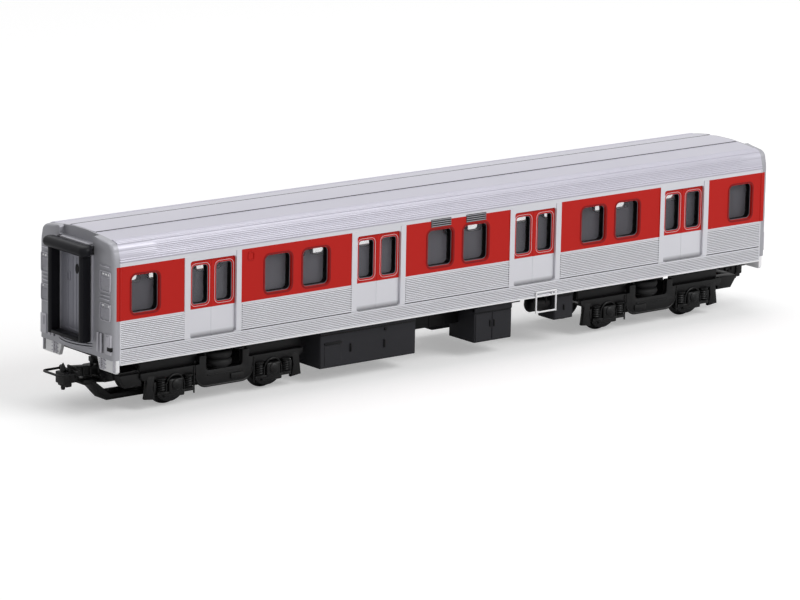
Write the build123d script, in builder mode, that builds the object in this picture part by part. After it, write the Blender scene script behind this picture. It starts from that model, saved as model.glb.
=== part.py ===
from build123d import *
import os

os.makedirs("parts", exist_ok=True)

# Metro car body on two four-wheel bogies, a 1:87 railway model. Millimetres.
# X runs along the car, Y across it and Z up. Z = 0 is the underside of the wheel flanges.
# "rear" is the -X end, "front" the +X end, "right" the -Y side and "left" the +Y side.

# ---- wheels and axles ----
tread_radius = 5.25
flange_depth = 1.0
flange_width = 0.8
wheel_width = 2.8
wheel_back_to_back = 14.4
wheel_dish = 0.7
wheel_rim = 1.1
hub_radius = 2.2
axle_radius = 1.0
journal_radius = 0.5
journal_play = 0.06
axle_end_play = 0.2
axle_fit = 0.02
axle_height = tread_radius + flange_depth
flange_radius = tread_radius + flange_depth
wheel_back = wheel_back_to_back / 2
wheel_face = wheel_back + wheel_width

# ---- body bays, from the middle outwards ----
centre_bay = 40.4
door_opening = 15.1
window_bay = 40.5
end_bay = 24.7
door_inner_x = centre_bay / 2 + door_opening / 2
door_outer_x = door_inner_x + door_opening + window_bay
body_end = door_outer_x + door_opening / 2 + end_bay

# ---- body section ----
body_half_width = 17.1
side_thickness = 1.3
roof_thickness = 1.3
end_thickness = 2.2
corner_radius = 1.4
sill_height = 15.1
gutter_height = 42.4
shoulder_rise = 3.1
shoulder_half_width = 16.5
shoulder_bulge = 0.12
crest_rise = 5.45
crest_half_width = 14.2
crest_turn_rise = 4.65
crest_turn_half_width = 15.8
crest_turn_inset_share = 0.7
roof_panel_rise = 6.3
roof_panel_half_width = 6.35
roof_panel_step = 0.15
roof_crown = 0.2
crest_to_panel_bulge = 0.12
crest_inset_share = 0.35
shoulder_height = gutter_height + shoulder_rise
crest_turn_height = gutter_height + crest_turn_rise
crest_height = gutter_height + crest_rise
roof_panel_height = gutter_height + roof_panel_rise
roof_top = roof_panel_height + roof_panel_step + roof_crown
inner_half_width = body_half_width - side_thickness
side_end = body_end - end_thickness

# ---- windows and doors ----
window_width = 8.8
window_height = 10.3
window_drop = 3.6
window_corner = 1.4
centre_window_x = 6.3
pair_window_spread = 6.35
end_window_inset = 10.3
door_sill = 4.2
door_head = 2.2
door_corner = 0.9
door_recess = 0.6
door_fit = 0.04
door_pillar_width = 1.8
door_pillar_proud = 0.15
door_pillar_margin = 0.2
door_pillar_drop = 0.9
leaf_window_width = 5.2
leaf_window_height = 10.6
leaf_window_drop = 3.6
leaf_window_spread = 3.9
leaf_window_corner = 1.0
leaf_groove = 0.35
leaf_groove_depth = 0.3
glazing_thickness = 0.8
glazing_overlap = 1.0
window_bottom = gutter_height - window_drop - window_height
leaf_window_bottom = gutter_height - leaf_window_drop - leaf_window_height
door_bottom = sill_height + door_sill
door_top = gutter_height - door_head
door_pillar_top = gutter_height - door_pillar_drop

# ---- ends ----
corner_plate_drop = 2.3
corner_plate_setback = 1.0
corner_plate_inner_top = 8.1
corner_plate_inner_bottom = 9.5
wall_rise = 1.4
apron_half_width = 8.0
apron_height = 1.4
apron_bow = 0.6
footplate_half_width = 8.0
footplate_height = 2.2
footplate_bow = 2.8
footplate_ridges = 3
footplate_groove = 0.2
roof_notch_half_width = 7.75
roof_notch_depth = 1.6
gangway_frame_half_width = 8.2
gangway_frame_proud = 0.6
gangway_half_width = 8.0
gangway_wall = 1.6
gangway_depth = 3.2
gangway_leg_corner = 0.8
gangway_roll_half_width = 10.0
gangway_roll_drop = 0.1
gangway_roll_height = 3.8
gangway_roll_depth = 4.2
gangway_roll_corner = 2.0
gangway_threshold_height = 0.9
end_door_thickness = 1.2
end_door_recess = 0.2
end_door_leaf_half_width = 3.1
end_door_leaf_proud = 0.15
end_door_fit = 0.04
end_door_margin = 1.6
corner_plate_bottom = sill_height - corner_plate_drop
wall_bottom = sill_height + wall_rise
footplate_bottom = wall_bottom + apron_height
footplate_top = footplate_bottom + footplate_height
gangway_roll_bottom = gutter_height - gangway_roll_drop
gangway_roll_top = gangway_roll_bottom + gangway_roll_height
gangway_base = body_end + gangway_frame_proud

# ---- chassis ----
floor_thickness = 1.8
ballast_length = 118.0
ballast_width = 22.0
ballast_thickness = 2.2
boss_radius = 6.0
boss_drop = 1.7
bogie_play = 0.15
kingpin_radius = 1.5
kingpin_play = 0.08
kingpin_head_radius = 2.7
kingpin_head_height = 0.9
kingpin_fit = 0.03
floor_bottom = sill_height
floor_top = floor_bottom + floor_thickness
boss_bottom = floor_bottom - boss_drop

# ---- bogies ----
bogie_setback = 39.6
wheelbase = 32.3
frame_outer = 12.2
frame_inner = 10.7
frame_bar_top = 10.4
frame_bar_bottom = 8.3
frame_inboard_reach = 26.6
frame_outboard_reach = 30.4
pedestal_width = 6.2
pedestal_bottom = 3.6
spring_radius = 1.1
spring_offset = 4.4
spring_bottom = 4.6
spring_proud = 0.5
pan_half_width = 8.4
pan_bottom = 3.9
pan_corner = 3.4
pan_thickness = 3.0
post_width = 2.2
post_top = 12.7
post_offset = 7.1
bellows_radius = 3.6
bellows_height = 4.6
bellows_seat_radius = 2.8
bolster_half_length = 4.6
bolster_thickness = 2.6
brake_hanger_width = 3.2
brake_hanger_bottom = 2.2
brake_hanger_offset = 25.4
headstock_length = 3.6
headstock_bottom = 7.0
headstock_top = 11.1
headstock_half_width = 5.6
bracket_length = 2.6
bracket_half_width = 1.2
bracket_top = 13.8
pan_top = pan_bottom + pan_thickness
bogie_x = body_end - bogie_setback
bolster_top = boss_bottom - bogie_play
bolster_bottom = bolster_top - bolster_thickness

# ---- couplers, carried by the bogies ----
shank_half_width = 1.7
shank_bottom = 8.2
shank_top = 10.2
shank_clearance = 0.25
shank_slot_half_width = 5.0
coupler_pin_radius = 0.8
coupler_pin_play = 0.07
coupler_pin_setback = 1.8
coupler_eye_radius = 1.9
shank_length = 7.4
head_length = 5.2
head_half_width = 2.1
head_bottom = 7.6
head_top = 10.4
hook_radius = 0.7
hook_top = 13.3
hook_bottom = 6.0
hook_setback = 1.1
loop_half_width = 4.4
loop_reach = 3.0
loop_wire = 0.7
loop_arm = 0.9
loop_pivot_setback = 3.4
loop_height = 10.9
loop_pin_radius = 0.35
loop_pin_play = 0.05
loop_side_play = 0.15
trunnion_inner = 1.3
tongue_half_width = 2.4
tongue_thickness = 1.5
tongue_low = 1.9
tongue_foot_setback = 1.9
tongue_tip_overhang = 4.2
coupler_pin_x = bogie_x + frame_outboard_reach + coupler_pin_setback
head_front = coupler_pin_x + shank_length + head_length
loop_pivot_x = head_front - loop_pivot_setback

# ---- underfloor equipment ----
equipment_side_gap = 2.1
equipment_depth = 11.2
bogie_swing_gap = 3.5
cabinet_bottom = 4.2
cabinet_rim_height = 1.2
cabinet_rim_proud = 0.25
large_cabinet_length = 33.1
duct_half_width = 8.0
duct_bottom = 8.2
twin_cabinet_length = 13.4
cabinet_gap = 5.2
tank_length = 10.4
tank_radius = 2.1
tank_hanger = 1.2
battery_length = 7.0
battery_end_gap = 1.8
battery_bottom = 7.0
battery_depth = 7.0
step_width = 7.7
step_gap = 1.3
step_bar = 0.5
step_rail_rise = 0.3
step_top = 16.8
step_bottom = 10.6
step_thickness = 0.8
equipment_face = body_half_width - equipment_side_gap
equipment_limit = bogie_x - frame_inboard_reach - bogie_swing_gap
large_cabinet_x = (-equipment_limit, -equipment_limit + large_cabinet_length)
battery_x = (
    equipment_limit - battery_end_gap - battery_length,
    equipment_limit - battery_end_gap,
)
tank_x = (battery_x[0] - tank_length, battery_x[0])
twin_cabinet_x = (tank_x[0] - cabinet_gap - twin_cabinet_length, tank_x[0] - cabinet_gap)
duct_x = (large_cabinet_x[1], twin_cabinet_x[0])
step_x = battery_x[0] - step_gap - step_width / 2


def save(piece, name):
    """Label one finished piece and write it under its node name."""
    piece.label = name
    export_step(piece, f"parts/{name}.step")


def save_both_sides(right_piece, name):
    """Write the right-hand piece and its mirror image on the left side."""
    save(right_piece, f"{name}_right")
    with BuildPart() as twin:
        mirror(right_piece, about=Plane.XZ)
    save(twin.part, f"{name}_left")


def save_both_ends(rear_piece, name):
    """Write the rear piece and its mirror image at the front end."""
    save(rear_piece, f"{name}_rear")
    with BuildPart() as twin:
        mirror(rear_piece, about=Plane.YZ)
    save(twin.part, f"{name}_front")


def box_between(x, y, z, mode=Mode.ADD):
    """A block between two corners, given as (low, high) along each axis."""
    centre = ((x[0] + x[1]) / 2, (y[0] + y[1]) / 2, (z[0] + z[1]) / 2)
    with Locations(centre):
        return Box(x[1] - x[0], y[1] - y[0], z[1] - z[0], mode=mode)


# window centres along the car
pair_centre_x = (door_inner_x + door_outer_x) / 2
window_centres = [
    sign * x
    for sign in (-1, 1)
    for x in (
        centre_window_x,
        pair_centre_x - pair_window_spread,
        pair_centre_x + pair_window_spread,
        body_end - end_window_inset,
    )
]
door_centres = [-door_outer_x, -door_inner_x, door_inner_x, door_outer_x]

# ---- body sides: flat panels with window and door openings ----
with BuildPart() as body_side:
    with BuildSketch(Plane.XZ.offset(inner_half_width)):
        with Locations((0, (sill_height + gutter_height) / 2)):
            Rectangle(2 * side_end, gutter_height - sill_height)
        with Locations([(x, window_bottom + window_height / 2) for x in window_centres]):
            RectangleRounded(window_width, window_height, window_corner, mode=Mode.SUBTRACT)
        with Locations([(x, (door_bottom + door_top) / 2) for x in door_centres]):
            RectangleRounded(door_opening, door_top - door_bottom, door_corner, mode=Mode.SUBTRACT)
    extrude(amount=side_thickness)
    # smooth pillars that stand a little proud on both sides of every door
    with BuildSketch(Plane.XZ.offset(body_half_width)):
        pillar_low = door_bottom + door_pillar_margin
        pillar_step = (door_opening + door_pillar_width) / 2
        with Locations(
            [
                (x + sign * pillar_step, (pillar_low + door_pillar_top) / 2)
                for x in door_centres
                for sign in (-1, 1)
            ]
        ):
            Rectangle(door_pillar_width, door_pillar_top - pillar_low)
    extrude(amount=door_pillar_proud)
save_both_sides(body_side.part, "body_side")

# ---- door pairs: two leaves in one moulding, set back in the opening ----
leaf_plane = Plane.XZ.offset(inner_half_width)
leaf_thickness = side_thickness - door_recess
door_middle = (door_bottom + door_top) / 2
leaf_window_middle = leaf_window_bottom + leaf_window_height / 2
for number, door_x in enumerate(door_centres, start=1):
    with BuildPart() as door_pair:
        with BuildSketch(leaf_plane):
            with Locations((door_x, door_middle)):
                RectangleRounded(
                    door_opening - 2 * door_fit,
                    door_top - door_bottom - 2 * door_fit,
                    door_corner - door_fit,
                )
            with Locations(
                (door_x - leaf_window_spread, leaf_window_middle),
                (door_x + leaf_window_spread, leaf_window_middle),
            ):
                RectangleRounded(
                    leaf_window_width, leaf_window_height, leaf_window_corner, mode=Mode.SUBTRACT
                )
        extrude(amount=leaf_thickness)
        with BuildSketch(leaf_plane.offset(leaf_thickness)):
            with Locations((door_x, door_middle)):
                Rectangle(leaf_groove, door_top - door_bottom)
        extrude(amount=-leaf_groove_depth, mode=Mode.SUBTRACT)
    save_both_sides(door_pair.part, f"door_pair_{number}")

# ---- window glazing: one clear strip behind all openings of a side ----
with BuildPart() as glazing:
    box_between(
        (-side_end + glazing_overlap, side_end - glazing_overlap),
        (-inner_half_width, -inner_half_width + glazing_thickness),
        (leaf_window_bottom - glazing_overlap, window_bottom + window_height + glazing_overlap),
    )
save_both_sides(glazing.part, "glazing")


def body_section(plane, inset, bottom):
    """The body's cross-section on a plane across the car, inset from the outer skin."""
    half = body_half_width - inset
    shoulder = (shoulder_half_width - inset, shoulder_height)
    turn_inset = inset * crest_turn_inset_share
    turn = (crest_turn_half_width - turn_inset, crest_turn_height - turn_inset)
    crest = (crest_half_width - inset * crest_inset_share, crest_height - inset)
    panel = (roof_panel_half_width, roof_panel_height - inset)
    step = roof_panel_step
    with BuildSketch(plane) as section:
        with BuildLine():
            for side in (-1, 1):
                Line((side * half, bottom), (side * half, gutter_height))
                middle = ((half + shoulder[0]) / 2, (gutter_height + shoulder[1]) / 2)
                ThreePointArc(
                    (side * half, gutter_height),
                    (side * (middle[0] + shoulder_bulge), middle[1]),
                    (side * shoulder[0], shoulder[1]),
                )
                ThreePointArc(
                    (side * shoulder[0], shoulder[1]),
                    (side * turn[0], turn[1]),
                    (side * crest[0], crest[1]),
                )
                middle = ((crest[0] + panel[0]) / 2, (crest[1] + panel[1]) / 2)
                ThreePointArc(
                    (side * crest[0], crest[1]),
                    (side * middle[0], middle[1] + crest_to_panel_bulge),
                    (side * panel[0], panel[1]),
                )
                Line((side * panel[0], panel[1]), (side * panel[0], panel[1] + step))
            ThreePointArc(
                (-panel[0], panel[1] + step),
                (0, panel[1] + step + roof_crown),
                (panel[0], panel[1] + step),
            )
            Line((-half, bottom), (half, bottom))
        make_face()
    return section.sketch


# ---- roof: one long moulding that sits on the sides and between the end walls ----
with BuildPart() as roof:
    extrude(body_section(Plane.YZ, 0, sill_height), amount=side_end, both=True)
    extrude(
        body_section(Plane.YZ, roof_thickness, sill_height),
        amount=side_end,
        both=True,
        mode=Mode.SUBTRACT,
    )
    box_between(
        (-side_end, side_end),
        (-body_half_width, body_half_width),
        (sill_height, gutter_height),
        mode=Mode.SUBTRACT,
    )
save(roof.part, "roof")

# ---- end walls: corner plates, door opening, roof notch, apron and ridged footplate ----
def bowed_plate(plane, x, half_width, bow):
    """A plate's plan: straight at the wall and bowed outwards towards the car's end."""
    with BuildSketch(plane) as plate:
        with BuildLine():
            ThreePointArc((x, -half_width), (x - bow, 0), (x, half_width))
            Line((x, half_width), (x, -half_width))
        make_face()
    return plate.sketch


aperture_half_width = gangway_half_width - gangway_wall
with BuildPart() as end_wall:
    extrude(
        body_section(Plane.YZ.offset(-body_end), 0, corner_plate_bottom), amount=end_thickness
    )
    with BuildSketch(Plane.XY.offset(corner_plate_bottom)):
        RectangleRounded(2 * body_end, 2 * body_half_width, corner_radius)
    extrude(amount=roof_top - corner_plate_bottom, mode=Mode.INTERSECT)
    box_between(
        (-body_end, -body_end + corner_plate_setback),
        (-body_half_width, body_half_width),
        (corner_plate_bottom, wall_bottom),
        mode=Mode.SUBTRACT,
    )
    with BuildSketch(Plane.YZ.offset(-body_end)):
        with BuildLine():
            Polyline(
                (-corner_plate_inner_bottom, corner_plate_bottom),
                (corner_plate_inner_bottom, corner_plate_bottom),
                (corner_plate_inner_top, wall_bottom),
                (-corner_plate_inner_top, wall_bottom),
                close=True,
            )
        make_face()
    extrude(amount=end_thickness, mode=Mode.SUBTRACT)
    box_between(
        (-gangway_base, -body_end),
        (-gangway_frame_half_width, gangway_frame_half_width),
        (footplate_top, gangway_roll_top),
    )
    box_between(
        (-gangway_base, -side_end),
        (-aperture_half_width, aperture_half_width),
        (footplate_top, gangway_roll_bottom),
        mode=Mode.SUBTRACT,
    )
    box_between(
        (-body_end, -body_end + roof_notch_depth),
        (-roof_notch_half_width, roof_notch_half_width),
        (gangway_roll_top, roof_top),
        mode=Mode.SUBTRACT,
    )
    extrude(
        bowed_plate(Plane.XY.offset(wall_bottom), -body_end, apron_half_width, apron_bow),
        amount=apron_height,
    )
    ridge_pitch = footplate_height / footplate_ridges
    for ridge in range(footplate_ridges):
        ridge_plane = Plane.XY.offset(footplate_bottom + ridge * ridge_pitch + footplate_groove)
        extrude(
            bowed_plate(ridge_plane, -body_end, footplate_half_width, footplate_bow),
            amount=ridge_pitch - footplate_groove,
        )
save_both_ends(end_wall.part, "end_wall")

# ---- end doors: a plain leaf in a frame, seen inside the gangway ----
end_door_face = -gangway_base + end_door_recess
with BuildPart() as end_door:
    box_between(
        (end_door_face, end_door_face + end_door_thickness),
        (-aperture_half_width + end_door_fit, aperture_half_width - end_door_fit),
        (footplate_top + end_door_fit, gangway_roll_bottom - end_door_fit),
    )
    box_between(
        (end_door_face - end_door_leaf_proud, end_door_face),
        (-end_door_leaf_half_width, end_door_leaf_half_width),
        (footplate_top + end_door_margin, gangway_roll_bottom - end_door_margin),
    )
save_both_ends(end_door.part, "end_door")

# ---- gangways: a black frame round the end door with a fat roll across its top ----
with BuildPart() as gangway:
    with BuildSketch(Plane.XZ.offset(-gangway_roll_half_width)):
        with BuildLine():
            roll_front = -gangway_base - gangway_roll_depth + gangway_roll_height / 2
            roll_middle = (gangway_roll_bottom + gangway_roll_top) / 2
            Line((-gangway_base, gangway_roll_bottom), (roll_front, gangway_roll_bottom))
            ThreePointArc(
                (roll_front, gangway_roll_bottom),
                (-gangway_base - gangway_roll_depth, roll_middle),
                (roll_front, gangway_roll_top),
            )
            Line((roll_front, gangway_roll_top), (-gangway_base, gangway_roll_top))
            Line((-gangway_base, gangway_roll_top), (-gangway_base, gangway_roll_bottom))
        make_face()
    extrude(amount=2 * gangway_roll_half_width)
    # the roll's ends are rounded in plan
    with BuildSketch(Plane.XY.offset(gangway_roll_bottom)):
        with Locations((-gangway_base, 0)):
            RectangleRounded(
                2 * gangway_roll_depth, 2 * gangway_roll_half_width, gangway_roll_corner
            )
    extrude(amount=gangway_roll_height, mode=Mode.INTERSECT)
    for side in (-1, 1):
        leg_front = -gangway_base - gangway_depth
        inner = side * aperture_half_width
        outer = side * gangway_half_width
        turn = side * (gangway_half_width - gangway_leg_corner)
        with BuildSketch(Plane.XY.offset(footplate_top)):
            with BuildLine():
                Polyline(
                    (leg_front + gangway_leg_corner, outer),
                    (-gangway_base, outer),
                    (-gangway_base, inner),
                    (leg_front, inner),
                    (leg_front, turn),
                )
                RadiusArc(
                    (leg_front, turn),
                    (leg_front + gangway_leg_corner, outer),
                    side * gangway_leg_corner,
                )
            make_face()
        extrude(amount=gangway_roll_bottom - footplate_top)
    box_between(
        (-gangway_base - gangway_depth, -gangway_base),
        (-aperture_half_width, aperture_half_width),
        (footplate_top, footplate_top + gangway_threshold_height),
    )
save_both_ends(gangway.part, "gangway")

# ---- chassis floor with a round boss over each bogie ----
kingpin_bore = kingpin_radius + kingpin_fit
with BuildPart() as chassis:
    box_between(
        (-side_end, side_end),
        (-inner_half_width, inner_half_width),
        (floor_bottom, floor_top),
    )
    with BuildSketch(Plane.XY.offset(boss_bottom)):
        with Locations((-bogie_x, 0), (bogie_x, 0)):
            Circle(boss_radius)
    extrude(amount=boss_drop)
    with BuildSketch(Plane.XY.offset(boss_bottom)):
        with Locations((-bogie_x, 0), (bogie_x, 0)):
            Circle(kingpin_bore)
    extrude(amount=boss_drop + floor_thickness, mode=Mode.SUBTRACT)
save(chassis.part, "chassis")

with BuildPart() as ballast:
    box_between(
        (-ballast_length / 2, ballast_length / 2),
        (-ballast_width / 2, ballast_width / 2),
        (floor_top, floor_top + ballast_thickness),
    )
save(ballast.part, "ballast_plate")

# ---- kingpins: a shouldered pin under each boss that carries the bogie ----
kingpin_head_top = bolster_bottom - bogie_play
with BuildPart() as kingpin:
    with BuildSketch(Plane.XY.offset(kingpin_head_top - kingpin_head_height)):
        with Locations((-bogie_x, 0)):
            Circle(kingpin_head_radius)
    extrude(amount=kingpin_head_height)
    with BuildSketch(Plane.XY.offset(kingpin_head_top)):
        with Locations((-bogie_x, 0)):
            Circle(kingpin_radius)
    extrude(amount=floor_top - kingpin_head_top)
save_both_ends(kingpin.part, "kingpin")

# ---- underfloor equipment, the same on both sides: cabinets with a rim under the floor ----
inner_face = -equipment_face + equipment_depth
for cabinet_name, cabinet_x in (
    ("large_cabinet", large_cabinet_x),
    ("twin_door_cabinet", twin_cabinet_x),
):
    with BuildPart() as cabinet:
        box_between(cabinet_x, (-equipment_face, inner_face), (cabinet_bottom, floor_bottom))
        box_between(
            cabinet_x,
            (-equipment_face - cabinet_rim_proud, -equipment_face),
            (floor_bottom - cabinet_rim_height, floor_bottom),
        )
    save_both_sides(cabinet.part, cabinet_name)

with BuildPart() as battery_box:
    box_between(
        battery_x, (-equipment_face, -equipment_face + battery_depth), (battery_bottom, floor_bottom)
    )
save_both_sides(battery_box.part, "battery_box")

with BuildPart() as air_tank:
    tank_y = -equipment_face + tank_radius + step_thickness
    tank_z = floor_bottom - tank_hanger - tank_radius
    with BuildSketch(Plane.YZ.offset(tank_x[0])):
        with Locations((tank_y, tank_z)):
            Circle(tank_radius)
    extrude(amount=tank_length)
    tank_middle = (tank_x[0] + tank_x[1]) / 2
    box_between(
        (tank_middle - tank_hanger, tank_middle + tank_hanger),
        (tank_y - tank_radius / 2, tank_y + tank_radius / 2),
        (tank_z, floor_bottom),
    )
save_both_sides(air_tank.part, "air_tank")

with BuildPart() as step_frame:
    with BuildSketch(Plane.XZ.offset(body_half_width)):
        with Locations((step_x, (step_top + step_bottom) / 2)):
            Rectangle(step_width, step_top - step_bottom)
        # a low opening to step through and a slot over the skirt
        rail = sill_height + step_rail_rise
        for low, high in (
            (step_bottom + step_bar, rail - step_bar / 2),
            (rail + step_bar / 2, step_top - step_bar),
        ):
            with Locations((step_x, (low + high) / 2)):
                Rectangle(step_width - 2 * step_bar, high - low, mode=Mode.SUBTRACT)
    extrude(amount=step_thickness)
save_both_sides(step_frame.part, "step_frame")

with BuildPart() as centre_duct:
    box_between(duct_x, (-duct_half_width, duct_half_width), (duct_bottom, floor_bottom))
save(centre_duct.part, "centre_duct")

# ---- bogie frames ----
axle_offsets = (-wheelbase / 2, wheelbase / 2)
frame_thickness = frame_outer - frame_inner
bearing_depth = frame_thickness - axle_end_play * 2
with BuildPart() as bogie_frame:
    # side frames: bar, cradle, posts, pedestals, springs and brake hangers
    for side in (-1, 1):
        side_plane = Plane.XZ.offset(frame_inner if side < 0 else -frame_outer)
        with BuildSketch(side_plane):
            bar_middle = (frame_bar_top + frame_bar_bottom) / 2
            bar_height = frame_bar_top - frame_bar_bottom
            with Locations(
                (-bogie_x + (frame_inboard_reach - frame_outboard_reach) / 2, bar_middle)
            ):
                Rectangle(frame_inboard_reach + frame_outboard_reach, bar_height)
            with BuildLine():
                cradle = FilletPolyline(
                    (-bogie_x - pan_half_width, frame_bar_top),
                    (-bogie_x - pan_half_width, pan_bottom),
                    (-bogie_x + pan_half_width, pan_bottom),
                    (-bogie_x + pan_half_width, frame_bar_top),
                    radius=pan_corner,
                )
                Line(cradle @ 1, cradle @ 0)
            make_face()
            with Locations((-bogie_x, (pan_top + post_top) / 2)):
                Rectangle(2 * post_offset - post_width, post_top - pan_top, mode=Mode.SUBTRACT)
            with Locations(
                (-bogie_x - post_offset, (post_top + frame_bar_bottom) / 2),
                (-bogie_x + post_offset, (post_top + frame_bar_bottom) / 2),
            ):
                Rectangle(post_width, post_top - frame_bar_bottom)
            with Locations([(-bogie_x + x, (pedestal_bottom + bar_middle) / 2) for x in axle_offsets]):
                Rectangle(pedestal_width, bar_middle - pedestal_bottom)
            with Locations(
                (-bogie_x - brake_hanger_offset, (brake_hanger_bottom + bar_middle) / 2),
                (-bogie_x + brake_hanger_offset, (brake_hanger_bottom + bar_middle) / 2),
            ):
                Rectangle(brake_hanger_width, bar_middle - brake_hanger_bottom)
        extrude(amount=frame_thickness)
        # coil springs each side of every axlebox
        with BuildSketch(Plane.XY.offset(spring_bottom)):
            spring_y = side * (frame_outer - spring_radius + spring_proud)
            with Locations(
                [
                    (-bogie_x + x + step, spring_y)
                    for x in axle_offsets
                    for step in (-spring_offset, spring_offset)
                ]
            ):
                Circle(spring_radius)
        extrude(amount=frame_bar_bottom - spring_bottom)
        # air bellows on their seats in the cradle, under the bolster's ends
        for low, high, radius in (
            (pan_top, post_top - bellows_height, bellows_seat_radius),
            (post_top - bellows_height, post_top, bellows_radius),
        ):
            with BuildSketch(Plane.XY.offset(low)):
                with Locations((-bogie_x, side * (frame_inner - bellows_radius / 2))):
                    Circle(radius)
            extrude(amount=high - low)
    # bolster from side to side, with the kingpin bore
    box_between(
        (-bogie_x - bolster_half_length, -bogie_x + bolster_half_length),
        (-frame_outer, frame_outer),
        (bolster_bottom, bolster_top),
    )
    # headstock with the coupler slot
    headstock_x = (
        -bogie_x - frame_outboard_reach - headstock_length,
        -bogie_x - frame_outboard_reach,
    )
    box_between(
        headstock_x, (-headstock_half_width, headstock_half_width), (headstock_bottom, headstock_top)
    )
    box_between(
        (headstock_x[0], headstock_x[0] + bracket_length),
        (-bracket_half_width, bracket_half_width),
        (headstock_top, bracket_top),
    )
    box_between(
        headstock_x,
        (-shank_slot_half_width, shank_slot_half_width),
        (shank_bottom - shank_clearance, shank_top + shank_clearance),
        mode=Mode.SUBTRACT,
    )
    with BuildSketch(Plane.XY.offset(headstock_bottom)):
        with Locations((-coupler_pin_x, 0)):
            Circle(coupler_pin_radius)
    extrude(amount=headstock_top - headstock_bottom)
    # tongue: from under the bolster, below the axle and up to the coupler
    with BuildSketch(Plane.XZ.offset(-tongue_half_width)):
        low = tongue_low
        high = tongue_low + tongue_thickness
        lift = headstock_bottom - high
        tongue_foot = headstock_x[1] + tongue_foot_setback
        tongue_tip = headstock_x[0] - tongue_tip_overhang
        with BuildLine():
            Polyline(
                (-bogie_x + bolster_half_length, low),
                (tongue_foot, low),
                (tongue_tip, low + lift),
                (tongue_tip, high + lift),
                (-bogie_x - frame_outboard_reach, high + lift),
                (-bogie_x - frame_outboard_reach, high),
                (-bogie_x + bolster_half_length, high),
                close=True,
            )
        make_face()
    extrude(amount=2 * tongue_half_width)
    for post_x in (-bolster_half_length, bolster_half_length - tongue_thickness):
        box_between(
            (-bogie_x + post_x, -bogie_x + post_x + tongue_thickness),
            (-tongue_half_width, tongue_half_width),
            (tongue_low, bolster_bottom),
        )
    # bores: the kingpin and the axle journals
    with BuildSketch(Plane.XY.offset(bolster_bottom)):
        with Locations((-bogie_x, 0)):
            Circle(kingpin_radius + kingpin_play)
    extrude(amount=bolster_thickness, mode=Mode.SUBTRACT)
    for side in (-1, 1):
        bearing_face = frame_inner if side < 0 else -frame_inner
        with BuildSketch(Plane.XZ.offset(bearing_face)):
            with Locations([(-bogie_x + x, axle_height) for x in axle_offsets]):
                Circle(journal_radius + journal_play)
        extrude(amount=-side * bearing_depth, mode=Mode.SUBTRACT)
save_both_ends(bogie_frame.part, "bogie_frame")

# ---- wheelsets: a steel axle through two flanged wheels ----
axle_half_length = frame_inner + bearing_depth - axle_end_play
shoulder = frame_inner - axle_end_play
for number, axle_x in enumerate(
    [sign * bogie_x + x for sign in (-1, 1) for x in axle_offsets], start=1
):
    with BuildPart() as axle:
        with BuildSketch(Plane.XZ):
            with Locations((axle_x, axle_height)):
                Circle(axle_radius)
        extrude(amount=shoulder, both=True)
        with BuildSketch(Plane.XZ):
            with Locations((axle_x, axle_height)):
                Circle(journal_radius)
        extrude(amount=axle_half_length, both=True)
    save(axle.part, f"axle_{number}")

    with BuildPart() as wheels:
        wheel_axis = Axis((axle_x, 0, axle_height), (0, 1, 0))
        for side in (-1, 1):
            with BuildSketch(Plane.YZ.offset(axle_x)):
                bore = axle_radius + axle_fit
                rim = tread_radius - wheel_rim
                face = wheel_face - wheel_dish
                # radius from the axle line, distance from the middle of the car
                profile = [
                    (wheel_back, bore),
                    (wheel_back, flange_radius - flange_width / 2),
                    (wheel_back + flange_width / 2, flange_radius),
                    (wheel_back + flange_width, tread_radius),
                    (wheel_face, tread_radius),
                    (wheel_face, rim),
                    (face, rim - wheel_dish),
                    (face, hub_radius),
                    (wheel_face, hub_radius),
                    (wheel_face, bore),
                ]
                with BuildLine():
                    Polyline(
                        *[(side * y, axle_height + radius) for y, radius in profile], close=True
                    )
                make_face()
            revolve(axis=wheel_axis)
    save(wheels.part, f"wheels_{number}")

# ---- couplers: shank and head, with a lifting loop ----
with BuildPart() as coupler:
    box_between(
        (-head_front + head_length, -coupler_pin_x),
        (-shank_half_width, shank_half_width),
        (shank_bottom, shank_top),
    )
    with BuildSketch(Plane.XY.offset(shank_bottom)):
        with Locations((-coupler_pin_x, 0)):
            Circle(coupler_eye_radius)
    extrude(amount=shank_top - shank_bottom)
    box_between(
        (-head_front, -head_front + head_length),
        (-head_half_width, head_half_width),
        (head_bottom, head_top),
    )
    with BuildSketch(Plane.XY.offset(hook_bottom)):
        with Locations((-head_front + hook_setback, 0)):
            Circle(hook_radius)
    extrude(amount=hook_top - hook_bottom)
    # trunnions at both sides of the head, whose ends carry the loop
    for side in (-1, 1):
        for reach, radius in (
            (loop_half_width - loop_arm - loop_side_play, loop_wire),
            (loop_half_width, loop_pin_radius),
        ):
            with BuildSketch(Plane.XZ.offset(-side * trunnion_inner)):
                with Locations((-loop_pivot_x, loop_height)):
                    Circle(radius)
            extrude(amount=-side * (reach - trunnion_inner))
    with BuildSketch(Plane.XY.offset(shank_bottom)):
        with Locations((-coupler_pin_x, 0)):
            Circle(coupler_pin_radius + coupler_pin_play)
    extrude(amount=shank_top - shank_bottom, mode=Mode.SUBTRACT)
save_both_ends(coupler.part, "coupler")

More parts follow.
